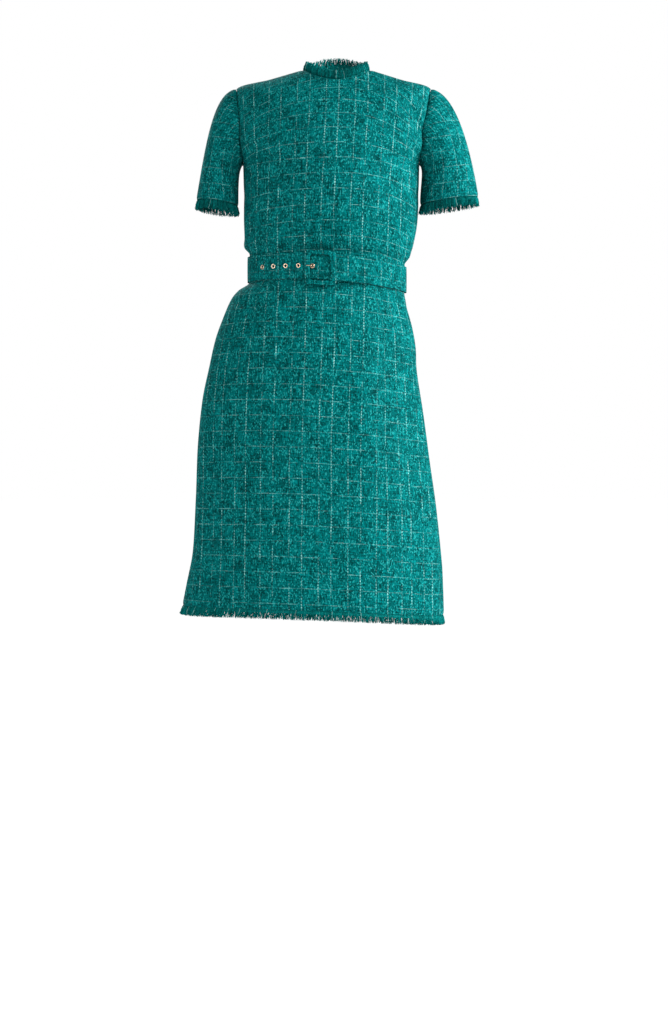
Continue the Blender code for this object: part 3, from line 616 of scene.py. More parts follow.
def oval_arc(half, depth, start, end):
    """Distance in mm round an oval from one angle to another, in radians. It is below 0 when end is less."""
    steps = 24
    total = 0.0
    for k in range(steps):
        turn = start + (end - start) * (k + 0.5) / steps
        total = total + np.hypot(half * np.cos(turn), depth * np.sin(turn))
    return total * (end - start) / steps


def travelled(points):
    """The distance along a row of points, or along each of a stack of rows, at every point."""
    steps = np.linalg.norm(np.diff(points, axis=-2), axis=-1)
    return np.insert(np.cumsum(steps, axis=-1), 0, 0, axis=-1)


def run_along(table, along, angle):
    """Distance in mm over the cloth at one angle, from the waist seam."""
    marks = np.linspace(0, np.max(along), 400)
    line = plain(table, np.full(400, float(angle)), marks)
    return np.interp(along, marks, travelled(line))


def steps_table(rows, value):
    """The columns of a short table read at some values of its first column, on straight lines."""
    columns = np.array(sorted(rows), float).T
    return [np.interp(value, columns[0], column) for column in columns[1:]]


def finish_panel(piece, node_name, material):
    """Gives a laid out panel its wall and its cloth."""
    thicken(piece, CLOTH)
    smooth(piece)
    wear(piece, [node_name], material)
    report(piece)


def report(piece):
    """Prints the flat area and the reach of a finished sheet's cloth map."""
    area = sum(face.area for face in piece.data.polygons) / 2
    flat = np.empty(len(piece.data.loops) * 2)
    piece.data.uv_layers.active.data.foreach_get("uv", flat)
    reach = np.ptp(flat.reshape(-1, 2), axis=0)
    print(piece.name, "cloth:", [round(float(x), 3) for x in reach], "m, area", round(area, 4), "m2")


print("cloth wall:", CLOTH, "mm")

# %% [markdown]
# The bodice
#
# One front on the fold and two backs. The front reaches over the shoulder to the shoulder seam, and each side
# is scooped out for the armhole. The points follow the loops, but the check doesn't: the cloth was woven
# straight and then bent over the body. So its upright lines are planes, and its cross lines follow the length
# of cloth from the waist over the bust to the shoulder, sagging a little towards the arms.

ARMHOLE_LOW, ARMHOLE_HIGH = 175.0, 309.0
ARMHOLE_MIDDLE = (ARMHOLE_LOW + ARMHOLE_HIGH) / 2
ARMHOLE_SPAN = (ARMHOLE_HIGH - ARMHOLE_LOW) / 2
ARMHOLE_FRONT, ARMHOLE_BACK = 27.0, 27.0
CHEST_ALONG, CHEST_Z = 172.0, -168.0  # above here the loops tilt over the shoulders
BODICE_LEVEL = -1.1
# height, and where the bright upright line by the centre front is
BODICE_LINE = [
    (-340, -2.6), (-252, -2.6), (-224, -1.3), (-193, 0.2), (-165, 2.4), (-134, 2.9), (-91, 5.7), (-27, 7.2),
]
# height, half width and depths of the level ovals over the chest, and the middle
CHEST_OVALS = [
    (-168, 150.5, 118, 103, -9), (-131, 170, 111, 104, -9), (-99, 180, 103, 100, -7),
    (-48, 190, 75, 80, -2), (-10, 200, 45, 55, 0),
]
# the last points of the centre front's profile and the centre back's, past the neck: depth and height
FRONT_END, BACK_END = [(-36, -13), (-12, -6), (6, -5)], [(40, 8), (10, 2), (-6, 0)]
# height, and how far a cross line has sunk 100 mm to the wearer's right and left
SAG = [(-340, 3, 13), (-258, 3, 12.5), (-187, 3, 10), (-143, 1, 11), (-100, 3, 15), (-60, 13, 20), (-30, 26, 26)]


def across_oval(table, angle, along):
    """The half width, depth and middle of a table's oval at some places."""
    front = np.cos(np.radians(angle)) > 0
    depth = np.where(front, read(table, "front", along), read(table, "back", along))
    return read(table, "half", along), depth, read(table, "centre", along)


def bodice_cloth(angle, along):
    """Where each point of the bodice was on the flat cloth: across and along its grain, in mm."""
    x, y, z = plain(BODICE, angle, along).T
    front = np.cos(np.radians(angle)) > 0
    chest_half, front_depth, back_depth, chest_centre = steps_table(CHEST_OVALS, z)
    chest = chest_half, np.where(front, front_depth, back_depth), chest_centre
    below = across_oval(BODICE, angle, along)
    half, depth, centre = (np.where(along > CHEST_ALONG, *pair) for pair in zip(chest, below))
    turn = np.arcsin(np.clip((x - centre) / half, -1, 1))
    line_x = np.where(front, steps_table(BODICE_LINE, z)[0], centre)
    across = oval_arc(half, depth, np.arcsin((line_x - centre) / half), turn)

    # the length of cloth from the waist, read off the profile of the centre front or back
    level = np.zeros(len(x))
    for angle_here, way, ends in ((0.0, -1, FRONT_END), (180.0, 1, BACK_END)):
        marks = np.linspace(0, NECK, 200)
        line = plain(BODICE, np.full(200, angle_here), marks)[:, 1:]
        line = np.concatenate([line, np.array(ends, float)])
        run = travelled(line)
        low = line[:, 1] <= CHEST_Z
        pivot = 20 * -way
        lean = np.arctan2(line[~low, 1] - CHEST_Z, (line[~low, 0] - pivot) * way)
        above = np.interp(np.arctan2(z - CHEST_Z, (y - pivot) * way), lean, run[~low])
        here = front if way < 0 else ~front
        level = np.where(here, np.where(z > CHEST_Z, above, np.interp(z, line[low, 1], run[low])), level)
    right, left = steps_table(SAG, z)
    side = np.abs(x) / 100
    sunk = np.where(front, np.where(x > 0, left, right) * side**2.5, 4 * side**2)
    return across, level + sunk


# %% Cut the bodice


def armhole_gap(along, widest):
    """Degrees between the side line and the armhole seam."""
    across = (along - ARMHOLE_MIDDLE) / ARMHOLE_SPAN
    return widest * np.sqrt(np.clip(1 - across * across, 0, None))


def bodice_stations(rows):
    """Distances up the bodice, closer together near the ends of the armhole, where its edge turns fast."""
    below = np.linspace(SEAM_GAP / 2, ARMHOLE_LOW, int(rows * 0.45), endpoint=False)
    turns = np.linspace(math.pi, 0, int(rows * 0.35), endpoint=False)
    beside = ARMHOLE_MIDDLE + ARMHOLE_SPAN * np.cos(turns)
    over = np.linspace(ARMHOLE_HIGH, NECK, rows + 1 - len(below) - len(beside))
    return np.concatenate([below, beside, over])


def front_edge(along):
    return 90 - armhole_gap(along, ARMHOLE_FRONT)


def back_edge(along):
    return 90 + armhole_gap(along, ARMHOLE_BACK)


# what the panels of one half of the dress share: its loops, its folded surface and creases, where its check falls
Form = namedtuple("Form", "loops surface creases way cloth level")


def make_panel(form, node_name, columns, stations, low, high):
    """A panel between two side lines, which give an angle at each distance, with a row at each station."""
    piece, across, up = new_grid(node_name + "_cloth", columns, len(stations) - 1)
    along = np.interp(up, np.linspace(0, 1, len(stations)), stations)
    size = (read(form.loops, "half", along) + read(form.loops, "front", along)) / 2
    turn = np.degrees(SEAM_GAP / 2 / size)
    edge_low, edge_high = low(along) + turn, high(along) - turn
    angle = edge_low + (edge_high - edge_low) * across
    out = outward(partial(plain, form.loops), angle, along, form.way)
    side = np.minimum(across, 1 - across) * np.radians(edge_high - edge_low) * size
    turned = np.minimum(rolled(side), rolled(form.loops[-1].along - along))
    set_points(piece, form.surface(angle, along, form.creases) + out * turned[:, None])
    u, v = form.cloth(angle, along)
    set_cloth_map(piece, u + CHECK_SECOND, v + form.level)
    finish_panel(piece, node_name, dress_cloth)
    return piece


upper = Form(BODICE, bodice, BODICE_CREASES, 1, bodice_cloth, BODICE_LEVEL)
rows = bodice_stations(150)
bodice_front = make_panel(upper, "bodice_front", 150, rows, lambda s: -front_edge(s), front_edge)
bodice_back_left = make_panel(upper, "bodice_back_left", 75, rows, back_edge, lambda s: 180)
bodice_back_right = make_panel(upper, "bodice_back_right", 75, rows, lambda s: 180, lambda s: 360 - back_edge(s))

# %% [markdown]
# The skirt
#
# The skirt flares from the waist seam to the knee. It is cut like the bodice: a front on the fold and two
# backs with a seam between them. Its own check starts from the waist, and doesn't meet the bodice's under the
# belt, just as on the real dress. Each dart takes in a wedge of cloth, so the upright lines jump where they
# cross it.

SKIRT_LEVEL = -27.6
SKIRT_LINE = [
    (-915, -6.8), (-820, -7.2), (-740, -6.0), (-640, -6.3), (-587, -4.8), (-478, -1.3), (-364, 1.5), (-340, 2.5),
]
# height, angle, cloth taken in, and the degrees over which it is: a dart, and below it the fold that it ends in
LEFT_DART = [
    (-340, 37, 34, 0.6), (-371, 38.4, 30, 0.6), (-444, 42, 15, 1.5), (-530, 38, 10, 7), (-587, 34.5, 7, 8),
    (-720, 30, 1.4, 9), (-760, 29, 0, 9),
]
RIGHT_DART = [
    (-340, -46, 18, 0.6), (-375, -45, 15, 0.6), (-425, -39.5, 10.8, 1.5), (-478, -35.5, 4, 5), (-515, -33, 0, 6),
]


def skirt_cloth(angle, along):
    """Where each point of the skirt was on the flat cloth, in mm."""
    z = read(SKIRT, "z_front", along)
    half, depth, centre = across_oval(SKIRT, angle, along)
    front = np.cos(np.radians(angle)) > 0
    line = np.arcsin((steps_table(SKIRT_LINE, z)[0] - centre) / half)
    turn = np.where(front, np.radians(angle), np.radians(180 - angle))
    across = oval_arc(half, depth, np.where(front, line, 0), turn)
    for dart, way in ((LEFT_DART, 1), (RIGHT_DART, -1)):
        place, taken, soft = steps_table(dart, z)
        past = np.clip((angle - place) * way / soft, 0, 1)
        across = across + np.where(front, way * taken * past * past * (3 - 2 * past), 0)
    return across, run_along(SKIRT, along, 0)


# %% Cut the skirt
lower = Form(SKIRT, skirt, SKIRT_CREASES, -1, skirt_cloth, SKIRT_LEVEL)
rows = np.linspace(HEM, SEAM_GAP / 2, 201)
skirt_front = make_panel(lower, "skirt_front", 170, rows, lambda s: -90, lambda s: 90)
skirt_back_left = make_panel(lower, "skirt_back_left", 85, rows, lambda s: 90, lambda s: 180)
skirt_back_right = make_panel(lower, "skirt_back_right", 85, rows, lambda s: 180, lambda s: 270)

# %% [markdown]
# The sleeves
#
# A set-in sleeve has a tall cap that runs over the shoulder and a short seam under the arm. Each line of
# points leaves the armhole, bends over the upper arm and drops to the cuff on a curve of four points. The
# sides differ, because one arm hangs straight and the other is turned, so its cuff is a wide oval.

# %% Set in the sleeves
Cuff = namedtuple("Cuff", "side x y z half depth tilt")
CUFFS = {
    "sleeve_right": Cuff(-1, -204, 4, -233, 36, 56, 5),
    "sleeve_left": Cuff(1, 193, 4, -229, 50, 43, 7),
}
SLEEVE_LEVEL = 24.3  # mm from the cuff to the first cross line
SLEEVE_LINE = 6.0  # mm from the shoulder line to the first upright one
SLEEVE_RADIUS = 55.0
# a sleeve's creases are measured round it in turns and down it in mm
SLEEVE_LONG = 130.0
SLEEVE_CREASES = {
    "sleeve_right": [
        Fold("front_drag", 128, 15.6, 98, 54.6, 6, -2.2),
        Fold("elbow_drag", 150, 45.5, 112, 80.6, 7, -1.8),
        Fold("back_drag", 232, 13, 262, 52, 6, -2.0),
        Fold("cap_ridge", 60, 28.6, 34, 65, 10, 1.2),
    ],
    "sleeve_left": [
        Fold("front_drag", 126, 20.8, 92, 59.8, 7, -2.2),
        Fold("elbow_drag", 140, 62.4, 70, 78, 8, -1.5),
        Fold("back_drag", 230, 18.2, 264, 57.2, 7, -2.0),
        Fold("cap_ridge", 300, 39, 330, 80.6, 10, 1.2),
    ],
}


def armhole(side, turn):
    """Points of the armhole seam. Turn 0 is the shoulder, 90 the front, 180 the armpit and 270 the back."""
    c, s = np.cos(np.radians(turn)), np.sin(np.radians(turn))
    widest = np.where(s > 0, ARMHOLE_FRONT, ARMHOLE_BACK)
    return bodice(side * (90 - widest * s), ARMHOLE_MIDDLE + ARMHOLE_SPAN * c)


def sleeve(cuff, turn, t):
    """Points of a sleeve, from its seam at t = 0 to its cuff at t = 1."""
    turn = np.broadcast_to(turn, np.broadcast(turn, t).shape)
    t = np.broadcast_to(t, turn.shape)[..., None]
    c, s = np.cos(np.radians(turn)), np.sin(np.radians(turn))
    start = armhole(cuff.side, turn)
    end_x, end_y = cuff.x + cuff.side * cuff.half * c, cuff.y - cuff.depth * s
    end = np.stack([end_x, end_y, cuff.z + HEM_BAND + cuff.tilt * c], -1)
    under = np.clip(-c, 0, None)
    leave = unit(np.stack([np.full(c.shape, float(cuff.side)), -0.35 * s, -0.1 - 0.25 * under], -1))
    start = start + leave * (SEAM_GAP + 0.5 * under)[..., None]
    arrive = np.stack([-0.17 * cuff.side * np.clip(c, 0, None), 0 * c, np.ones(c.shape)], -1)
    near = start + leave * (23 + 15 * c)[..., None]
    far = end + arrive * (68 + 34 * c)[..., None]
    r = 1 - t
    return start * r**3 + near * 3 * r * r * t + far * 3 * r * t * t + end * t**3


def make_sleeve(node_name, cuff, columns, rows):
    """A sleeve, with its seam under the arm."""
    piece, across, t = new_grid(node_name + "_cloth", columns, rows)
    turn = cuff.side * (360 * across - 180)
    step = 0.01
    around = sleeve(cuff, turn + 1, t) - sleeve(cuff, turn - 1, t)
    down = sleeve(cuff, turn, np.minimum(t + step, 1)) - sleeve(cuff, turn, np.maximum(t - step, 0))
    # how far down the sleeve each point is, in mm, and how long its own line is
    marks = np.linspace(0, 1, 60)
    runs = travelled(sleeve(cuff, turn[:, None], marks[None, :]))
    here = np.array([np.interp(value, marks, row) for value, row in zip(t, runs)])
    left = runs[:, -1] - here
    head = np.clip(np.cos(np.radians(turn)), 0, 1)
    height = fold_height(SLEEVE_CREASES[node_name], SLEEVE_RADIUS, turn, t * SLEEVE_LONG)
    height += 0.4 * head * np.exp(-(((here - 5) / 5) ** 2))
    height += np.minimum(rolled(here) * (1 - 0.6 * head), rolled(left))
    height += 0.7 * rolled(np.radians(180 - np.abs(turn)) * 50)
    set_points(piece, sleeve(cuff, turn, t) + unit(cuff.side * np.cross(around, down)) * height[:, None])
    ring = np.linspace(0, 360, 721)
    cuff_run = travelled(sleeve(cuff, ring, np.ones(721)))
    u = np.interp(turn % 360, ring, cuff_run)
    u = np.where(turn < 0, u - cuff_run[-1], u) * (1 + 0.0018 * left)
    set_cloth_map(piece, u + SLEEVE_LINE, SLEEVE_LEVEL - left)
    merge(piece, 0.01)
    finish_panel(piece, node_name, sleeve_cloth)
    return piece


sleeves = {name: make_sleeve(name, cuff, 144, 80) for name, cuff in CUFFS.items()}

# %% [markdown]
# Frayed trims
#
# The edges are finished with strips of the same cloth whose cross threads have been pulled out, so that the
# long threads hang free. A hair system could grow them, but it doesn't export. Here one thread is modelled and
# copied along the edge, each copy with its own length, lean and curl, into one mesh a trim.

# %% Model one loose thread
FRINGE = 10.0  # mm of loose threads below the woven strip
# how far down a thread its rings are, and how thick it is there, as shares of its length and thickness
THREAD_STEPS = (0.25, 0.5, 0.75, 1.0)
THREAD_TAPER = (1.0, 1.0, 0.95, 0.7)

thread = added(bpy.ops.mesh.primitive_circle_add, vertices=3, radius=1.0, fill_type="NGON", location=(0, 0, 0))
edit(thread)
below, width = 0.0, 1.0
for step, taper in zip(THREAD_STEPS, THREAD_TAPER):
    bpy.ops.mesh.extrude_region_move(TRANSFORM_OT_translate={"value": (0, 0, step - below)})
    bpy.ops.transform.resize(value=(taper / width, taper / width, 1), center_override=(0, 0, step))
    below, width = step, taper
bpy.ops.mesh.select_all(action="SELECT")
bpy.ops.mesh.normals_make_consistent(inside=False)
bpy.ops.mesh.quads_convert_to_tris()
leave_edit()
thread_points = np.array([v.co[:] for v in thread.data.vertices])
thread_faces = np.array([face.vertices[:] for face in thread.data.polygons])
bpy.data.objects.remove(thread)
print("thread points and faces:", len(thread_points), len(thread_faces))

# %% The yarn of the fringes


def frayed_yarn(name):
    """Loose tweed yarns: each has one colour, and a pale one hangs where an upright line of the check ends."""
    made = empty_material(name)
    add = partial(node, made)
    place = add("UVMap", uv_map="cloth")
    size = add("VectorMath SCALE", {0: place, "Scale": 1 / MM})
    across, along = add("SeparateXYZ", size).outputs[:2]
    own = add("TexWhiteNoise", {"W": across}, noise_dimensions="1D")
    ramp = add("ValToRGB", own)
    stops = ramp.color_ramp.elements
    stops[0].color = (*colour("#003d3c"), 1.0)
    stops[1].color = (*colour("#0a8f8c"), 1.0)
    stops.new(0.6).color = (*colour("#006361"), 1.0)
    longer = add("Math MULTIPLY", along, 0.35)
    slub = add("CombineXYZ", across, longer)
    fluff = add("TexNoise", {"Vector": slub, "Scale": 1.0, "Detail": 2.0})
    light = add("MapRange", {"Value": fluff, "From Min": 0.55, "From Max": 0.75, "To Max": 0.5})
    mixed = add("Mix", {0: light, 6: ramp, 7: colour("#2fb0ad")}, data_type="RGBA")
    in_pair = add("Math FLOORED_MODULO", across, CHECK_REPEAT)
    first = add("Math COMPARE", in_pair, 0.0, 0.15)
    second = add("Math COMPARE", in_pair, CHECK_SECOND, 0.3)
    either = add("Math MAXIMUM", first, second)
    pale = add("Math MULTIPLY", either, 0.6)
    base = add("Mix", {0: pale, 6: mixed, 7: colour("#a4e2df")}, data_type="RGBA")
    bump = add("Bump", {"Height": fluff, "Strength": 0.5, "Distance": 0.3 * MM})
    surface(made, {"Base Color": base, "Normal": bump, "Roughness": 0.85, "Specular IOR Level": 0.02})
    return made


yarn = frayed_yarn("frayed_boucle_yarn")

# %% Fray the edges
Trim = namedtuple("Trim", "node edge threads grain seed")


# an edge gives, at some turns round it, its points, the way out of the cloth and the way that the threads hang
def hem_edge(turn):
    along = np.full(turn.shape, float(HEM))
    base = skirt(turn, along)
    return base, outward(skirt, turn, along, -1), unit(base - skirt(turn, along - 8))


def neck_edge(turn):
    along = np.full(turn.shape, float(NECK))
    base = bodice(turn, along)
    way = unit(unit(base - bodice(turn, along - 6)) + np.array([0, 0, 1.6]))
    return base, unit(np.cross(bodice(turn + 1, along) - bodice(turn - 1, along), way)), way


def cuff_edge(cuff):
    def edge(turn):
        base = sleeve(cuff, turn, np.ones(turn.shape))
        c, s = np.cos(np.radians(turn)), np.sin(np.radians(turn))
        out = np.stack([cuff.side * c, -s, 0 * c], -1)
        return base, out, unit(np.stack([0.06 * cuff.side * c, 0 * c, -np.ones(c.shape)], -1))

    return edge


BAND_THICK = 1.0
BAND_OUT = (-2.6, -0.8)  # mm out of the cloth face, where the threads start and where they hang
# the strip's section: how far it is past the cloth's edge, and how far it stands out
BAND_SECTION = [
    (-7, -3.1), (-5, -3.1), (-3, -3.1), (-1, -3.1), (1, -3.1), (2, -3.0), (3, -2.5), (4, -1.9), (5, -1.5), (6, -1.4),
]
TRIMS = [
    Trim("hem_fringe", hem_edge, 4400, -12.0, 3),
    Trim("neck_fringe", neck_edge, 900, 7.0, 5),
    Trim("sleeve_left_fringe", cuff_edge(CUFFS["sleeve_left"]), 800, 6.0, 7),
    Trim("sleeve_right_fringe", cuff_edge(CUFFS["sleeve_right"]), 800, 6.0, 11),
]


def make_band(trim, turns, run):
    """The strip's woven part, a closed ring. Its upper edge is sewn behind the cloth, and shows as a groove."""
    band, across, up = new_grid(trim.node + "_band", int(run[-1] / 2.5), len(BAND_SECTION) - 1)
    base, out, way = trim.edge(360 * across)
    rows = np.round(up * (len(BAND_SECTION) - 1)).astype(int)
    reach, step = np.array(BAND_SECTION, float)[rows].T
    # the free edge waves, in a long wave every 23 mm and a short one every 9 mm
    long_wave = 0.35 * np.sin(across * math.tau * round(run[-1] / 23))
    short_wave = 0.25 * np.sin(across * math.tau * round(run[-1] / 9) + 2)
    step = step + (long_wave + short_wave) * np.clip(reach / HEM_BAND, 0, 1)
    set_points(band, base + way * reach[:, None] + out * step[:, None])
    set_cloth_map(band, np.interp(360 * across, turns, run) + trim.grain, reach)
    edit(band)
    bpy.ops.mesh.remove_doubles(threshold=0.01 * MM)
    bpy.ops.mesh.normals_make_consistent(inside=False)
    leave_edit()
    thicken(band, BAND_THICK)
    smooth(band)
    return band


def make_threads(trim, turns, run):
    """All the loose threads of a trim as one mesh."""
    rng = np.random.default_rng(trim.seed)
    count = trim.threads
    turn = 360 * (np.arange(count) + rng.uniform(-0.45, 0.45, count)) / count
    base, out, way = (directions[:, None, :] for directions in trim.edge(turn))
    hair = rng.random(count) < 0.3
    radius = np.where(hair, rng.uniform(0.16, 0.26, count), rng.uniform(0.42, 0.72, count))
    root = rng.uniform(0.6, 3.0, count)
    reach = np.where(hair, rng.uniform(0.85, 1.12, count), rng.uniform(0.86, 1.07, count))
    length = (HEM_BAND + FRINGE) * reach - root
    clump = 0.9 * np.sin(np.radians(turn) * 37) + 0.7 * np.sin(np.radians(turn) * 83 + 1)
    lean = rng.normal(0, 1.6, count) + 1.2 * clump
    curl = rng.normal(0.2, 0.8, count)
    sway, bow = rng.normal(0, 0.6, (2, count))
    start = rng.uniform(0, math.tau, count)
    # two threads in three lie over the woven strip, and the others behind it
    over = rng.random(count) < 0.67
    near = rng.uniform(0.1, 0.6, count)
    depth = np.where(over, BAND_OUT[0] + near, BAND_OUT[0] - BAND_THICK - near)
    rise = (BAND_OUT[1] - BAND_OUT[0]) * np.where(over, 1.0, 0.8)
    # from here on each row is a thread and each column one of its points
    x, y, z = thread_points.T
    lean, curl, sway, bow, start, depth, rise, radius, root, length = (
        values[:, None] for values in (lean, curl, sway, bow, start, depth, rise, radius, root, length)
    )
    kink = np.sin(z * rng.uniform(5, 11, count)[:, None] + start) * z
    emerge = 1 - (1 - np.minimum(2.2 * z, 1)) ** 2
    sideways = x * radius + lean * z**2 + sway * kink
    outwards = y * radius + depth + rise * emerge + curl * z**2 + bow * kink
    down = root + length * z
    points = base + way * down[..., None] + np.cross(out, way) * sideways[..., None] + out * outwards[..., None]
    faces = thread_faces[None] + (np.arange(count) * len(thread_points))[:, None, None]
    mesh = bpy.data.meshes.new(trim.node + "_threads")
    mesh.from_pydata((points.reshape(-1, 3) * MM).tolist(), [], faces.reshape(-1, 3).tolist())
    piece = add_piece(trim.node + "_threads", mesh)
    place = np.interp(turn % 360, turns, run) + trim.grain
    set_cloth_map(piece, np.repeat(place, len(thread_points)), down.ravel())
    mesh.shade_smooth()
    return piece


trims = {}
for trim in TRIMS:
    turns = np.linspace(0, 360, 1441)
    run = travelled(trim.edge(turns)[0])
    trims[trim.node] = [make_band(trim, turns, run), make_threads(trim, turns, run)]
    for piece in trims[trim.node]:
        wear(piece, [trim.node], yarn)
    print(trim.node, "is", round(run[-1]), "mm round, with", trim.threads, "threads")

# %% [markdown]
# Seam allowances
#
# Behind each seam, the two pieces' edges are pressed open. They keep daylight from showing between the pieces,
# and they are what is seen of the dress from the inside, through the neck and the hem.

# %% Press the seams open
ALLOWANCE, ALLOWANCE_THICK = 7.0, 0.8  # mm


def press_open(name, points, out, over, run):
    """A strip behind a seam. points and out are along it, over is the direction across it."""
    piece, across, up = new_grid(name, len(points) - 1, 8)
    k = np.round(across * (len(points) - 1)).astype(int)
    away = ALLOWANCE * (2 * up - 1)
    inner = -(CLOTH + 0.2) + rolled(away)
    set_points(piece, points[k] + over[k] * away[:, None] + out[k] * inner[:, None])
    set_cloth_map(piece, run[k], away)
    thicken(piece, ALLOWANCE_THICK)
    smooth(piece)
    wear(piece, [], dress_cloth)


def upright_seam(name, surface, table, angle, low, high, way):
    """The allowances of a seam that runs up a surface at one angle."""
    along = np.linspace(low, high, int((high - low) / 6) + 2)
    turn = np.full(along.shape, float(angle))
    points = surface(turn, along)
    out = outward(partial(plain, table), turn, along, way)
    over = unit(surface(turn + 0.5, along) - surface(turn - 0.5, along))
    press_open(name, points, out, over * -way, run_along(table, along, angle))


for side_name, angle in (("left", 90), ("right", -90), ("back", 180)):
    top = NECK if angle == 180 else ARMHOLE_LOW - 3
    upright_seam(f"bodice_{side_name}_seam", bodice, BODICE, angle, 0, top, 1)
    upright_seam(f"skirt_{side_name}_seam", skirt, SKIRT, angle, 0, HEM - 2, -1)
for side_name, angle in (("left", 90), ("right", -90)):
    upright_seam(f"shoulder_{side_name}_seam", bodice, BODICE, angle, ARMHOLE_HIGH + 3, NECK, 1)
for side_name, side in (("left", 1), ("right", -1)):
    turn = np.linspace(0, 360, 73)
    points = armhole(side, turn)
    widest = np.where(np.sin(np.radians(turn)) > 0, ARMHOLE_FRONT, ARMHOLE_BACK)
    angle = side * (90 - widest * np.sin(np.radians(turn)))
    along = ARMHOLE_MIDDLE + ARMHOLE_SPAN * np.cos(np.radians(turn))
    out = outward(partial(plain, BODICE), angle, along)
    ahead = unit(armhole(side, turn + 1) - armhole(side, turn - 1))
    press_open(f"armhole_{side_name}_seam", points, out, np.cross(out, ahead), turn)

# %% [markdown]
# The belt
#
# The belt is a stiffened strip of the same cloth. One end is folded round the buckle's bar, and the other,
# holed end has come round the waist, through the frame and over its own start. It is easiest to make flat, as
# a maker does, with its holes punched while it lies on the table. Then each of its points is laid round the
# waist: its distance along the strip becomes a distance round the body, and its height above the table a lift
# off the dress.

# %% The way round the waist
BELT_WIDTH, BELT_THICK = 43.0, 2.6
BELT_CURVE = Loop(0, WAIST_Z - 4.4, WAIST_Z - 2.6, WAIST_Z - 2.6, -16.2, 133.8, 97.3, 85.5, 17)
LAYER = BELT_THICK + SEAM_GAP
LIFT_FROM, LIFT_TO = -68.0, -44.0
STRAP_TIP, TIP_ROUND = 83.0, 13.0
BUCKLE_AT, BUCKLE_DROP = -10.8, -2.5
BAR_WIDE = 4.0
STRAP_START = BUCKLE_AT + BAR_WIDE / 2 + SEAM_GAP

belt_angles = np.arange(-180, 180.01, 0.25)
belt_ring = on_loop(BELT_CURVE, belt_angles)
belt_run = travelled(belt_ring)
belt_run -= np.interp(0, belt_angles, belt_run)
BELT_ROUND = belt_run[-1] - belt_run[0]


def on_belt(distance, height, lift):
    """Points at a distance round the waist from the centre front, a height on the belt and a lift off it."""
    wrapped = (distance - belt_run[0]) % BELT_ROUND + belt_run[0]
    angle = np.interp(wrapped, belt_run, belt_angles)
    across = on_loop(BELT_CURVE, angle + 0.5) - on_loop(BELT_CURVE, angle - 0.5)
    out = unit(np.stack([across[..., 1], -across[..., 0], 0 * angle], -1))
    return on_loop(BELT_CURVE, angle) + np.stack([0 * angle, 0 * angle, height], -1) + out * lift[..., None]


def strap_lift(distance):
    """The lift of the holed end's inner face: flat on the dress, then up over the bar and the other end."""
    t = np.clip((distance - LIFT_FROM) / (LIFT_TO - LIFT_FROM), 0, 1)
    return LAYER * t * t * (3 - 2 * t)


def mesh_points(piece):
    """A mesh's points in mm."""
    flat = np.empty(len(piece.data.vertices) * 3)
    piece.data.vertices.foreach_get("co", flat)
    return flat.reshape(-1, 3) / MM


print("waist, mm:", round(BELT_ROUND))

# %% Cut and punch the strap
EYELET_PITCH, EYELETS, EYELET_HOLE, LAST_EYELET = 23.2, 5, 2.75, -23.4
STRAP_STEP = 3.0
STRAP_CHECK = (0.0, 5.0)  # mm, where the check falls on the strap

strap_end = BELT_ROUND + STRAP_TIP
strap, across, up = new_grid("belt_strap", int((strap_end - STRAP_START) / STRAP_STEP), 14)
distance = STRAP_START + (strap_end - STRAP_START) * across
from_tip = np.clip((strap_end - distance) / TIP_ROUND, 0, 1)
half = BELT_WIDTH / 2 * (0.9 * np.sqrt(1 - (1 - from_tip) ** 2) + 0.1)
height = half * (2 * up - 1)
crown = 0.25 * (1 - (2 * up - 1) ** 2)
set_points(strap, np.stack([distance, height, BELT_THICK - 0.25 + crown], -1))
thicken(strap, BELT_THICK)
soften(strap, 1.25, 60)
for k in range(EYELETS):
    spot = (BELT_ROUND + LAST_EYELET - k * EYELET_PITCH) * MM
    size = dict(vertices=20, radius=EYELET_HOLE * MM, depth=20 * MM)
    punch = added(bpy.ops.mesh.primitive_cylinder_add, location=(spot, 0, 0), **size)
    cut = strap.modifiers.new("hole", "BOOLEAN")
    cut.object = punch
    apply_all(strap)
    bpy.data.objects.remove(punch)
distance, height, above = mesh_points(strap).T
set_cloth_map(strap, distance + STRAP_CHECK[0], height + STRAP_CHECK[1])
lift = np.where(distance > BELT_ROUND + LIFT_FROM, strap_lift(distance - BELT_ROUND), 0)
set_points(strap, on_belt(distance, height, above + lift))
smooth(strap)
wear(strap, ["belt"], belt_cloth)
# painted shade: the strap's sides, rounded edges, tip and hole walls take the darker cloth, for the shadow along the
# belt's edges and in its holes
paint_edge_shade(strap, above, BELT_THICK - 0.32)  # all but the flat outer face
print("strap, mm:", round(strap_end - STRAP_START), "by", BELT_WIDTH)

# %% [markdown]
# The buckle
#
# The frame is a flat rectangle with round corners, covered in the cloth. Its outline is a plane with bevelled
# corners. Each ring of the frame's section is an extrusion of the one before it, brought in and lifted a
# little, and a bridge closes the last to the first. Then it bends round the waist with the belt.

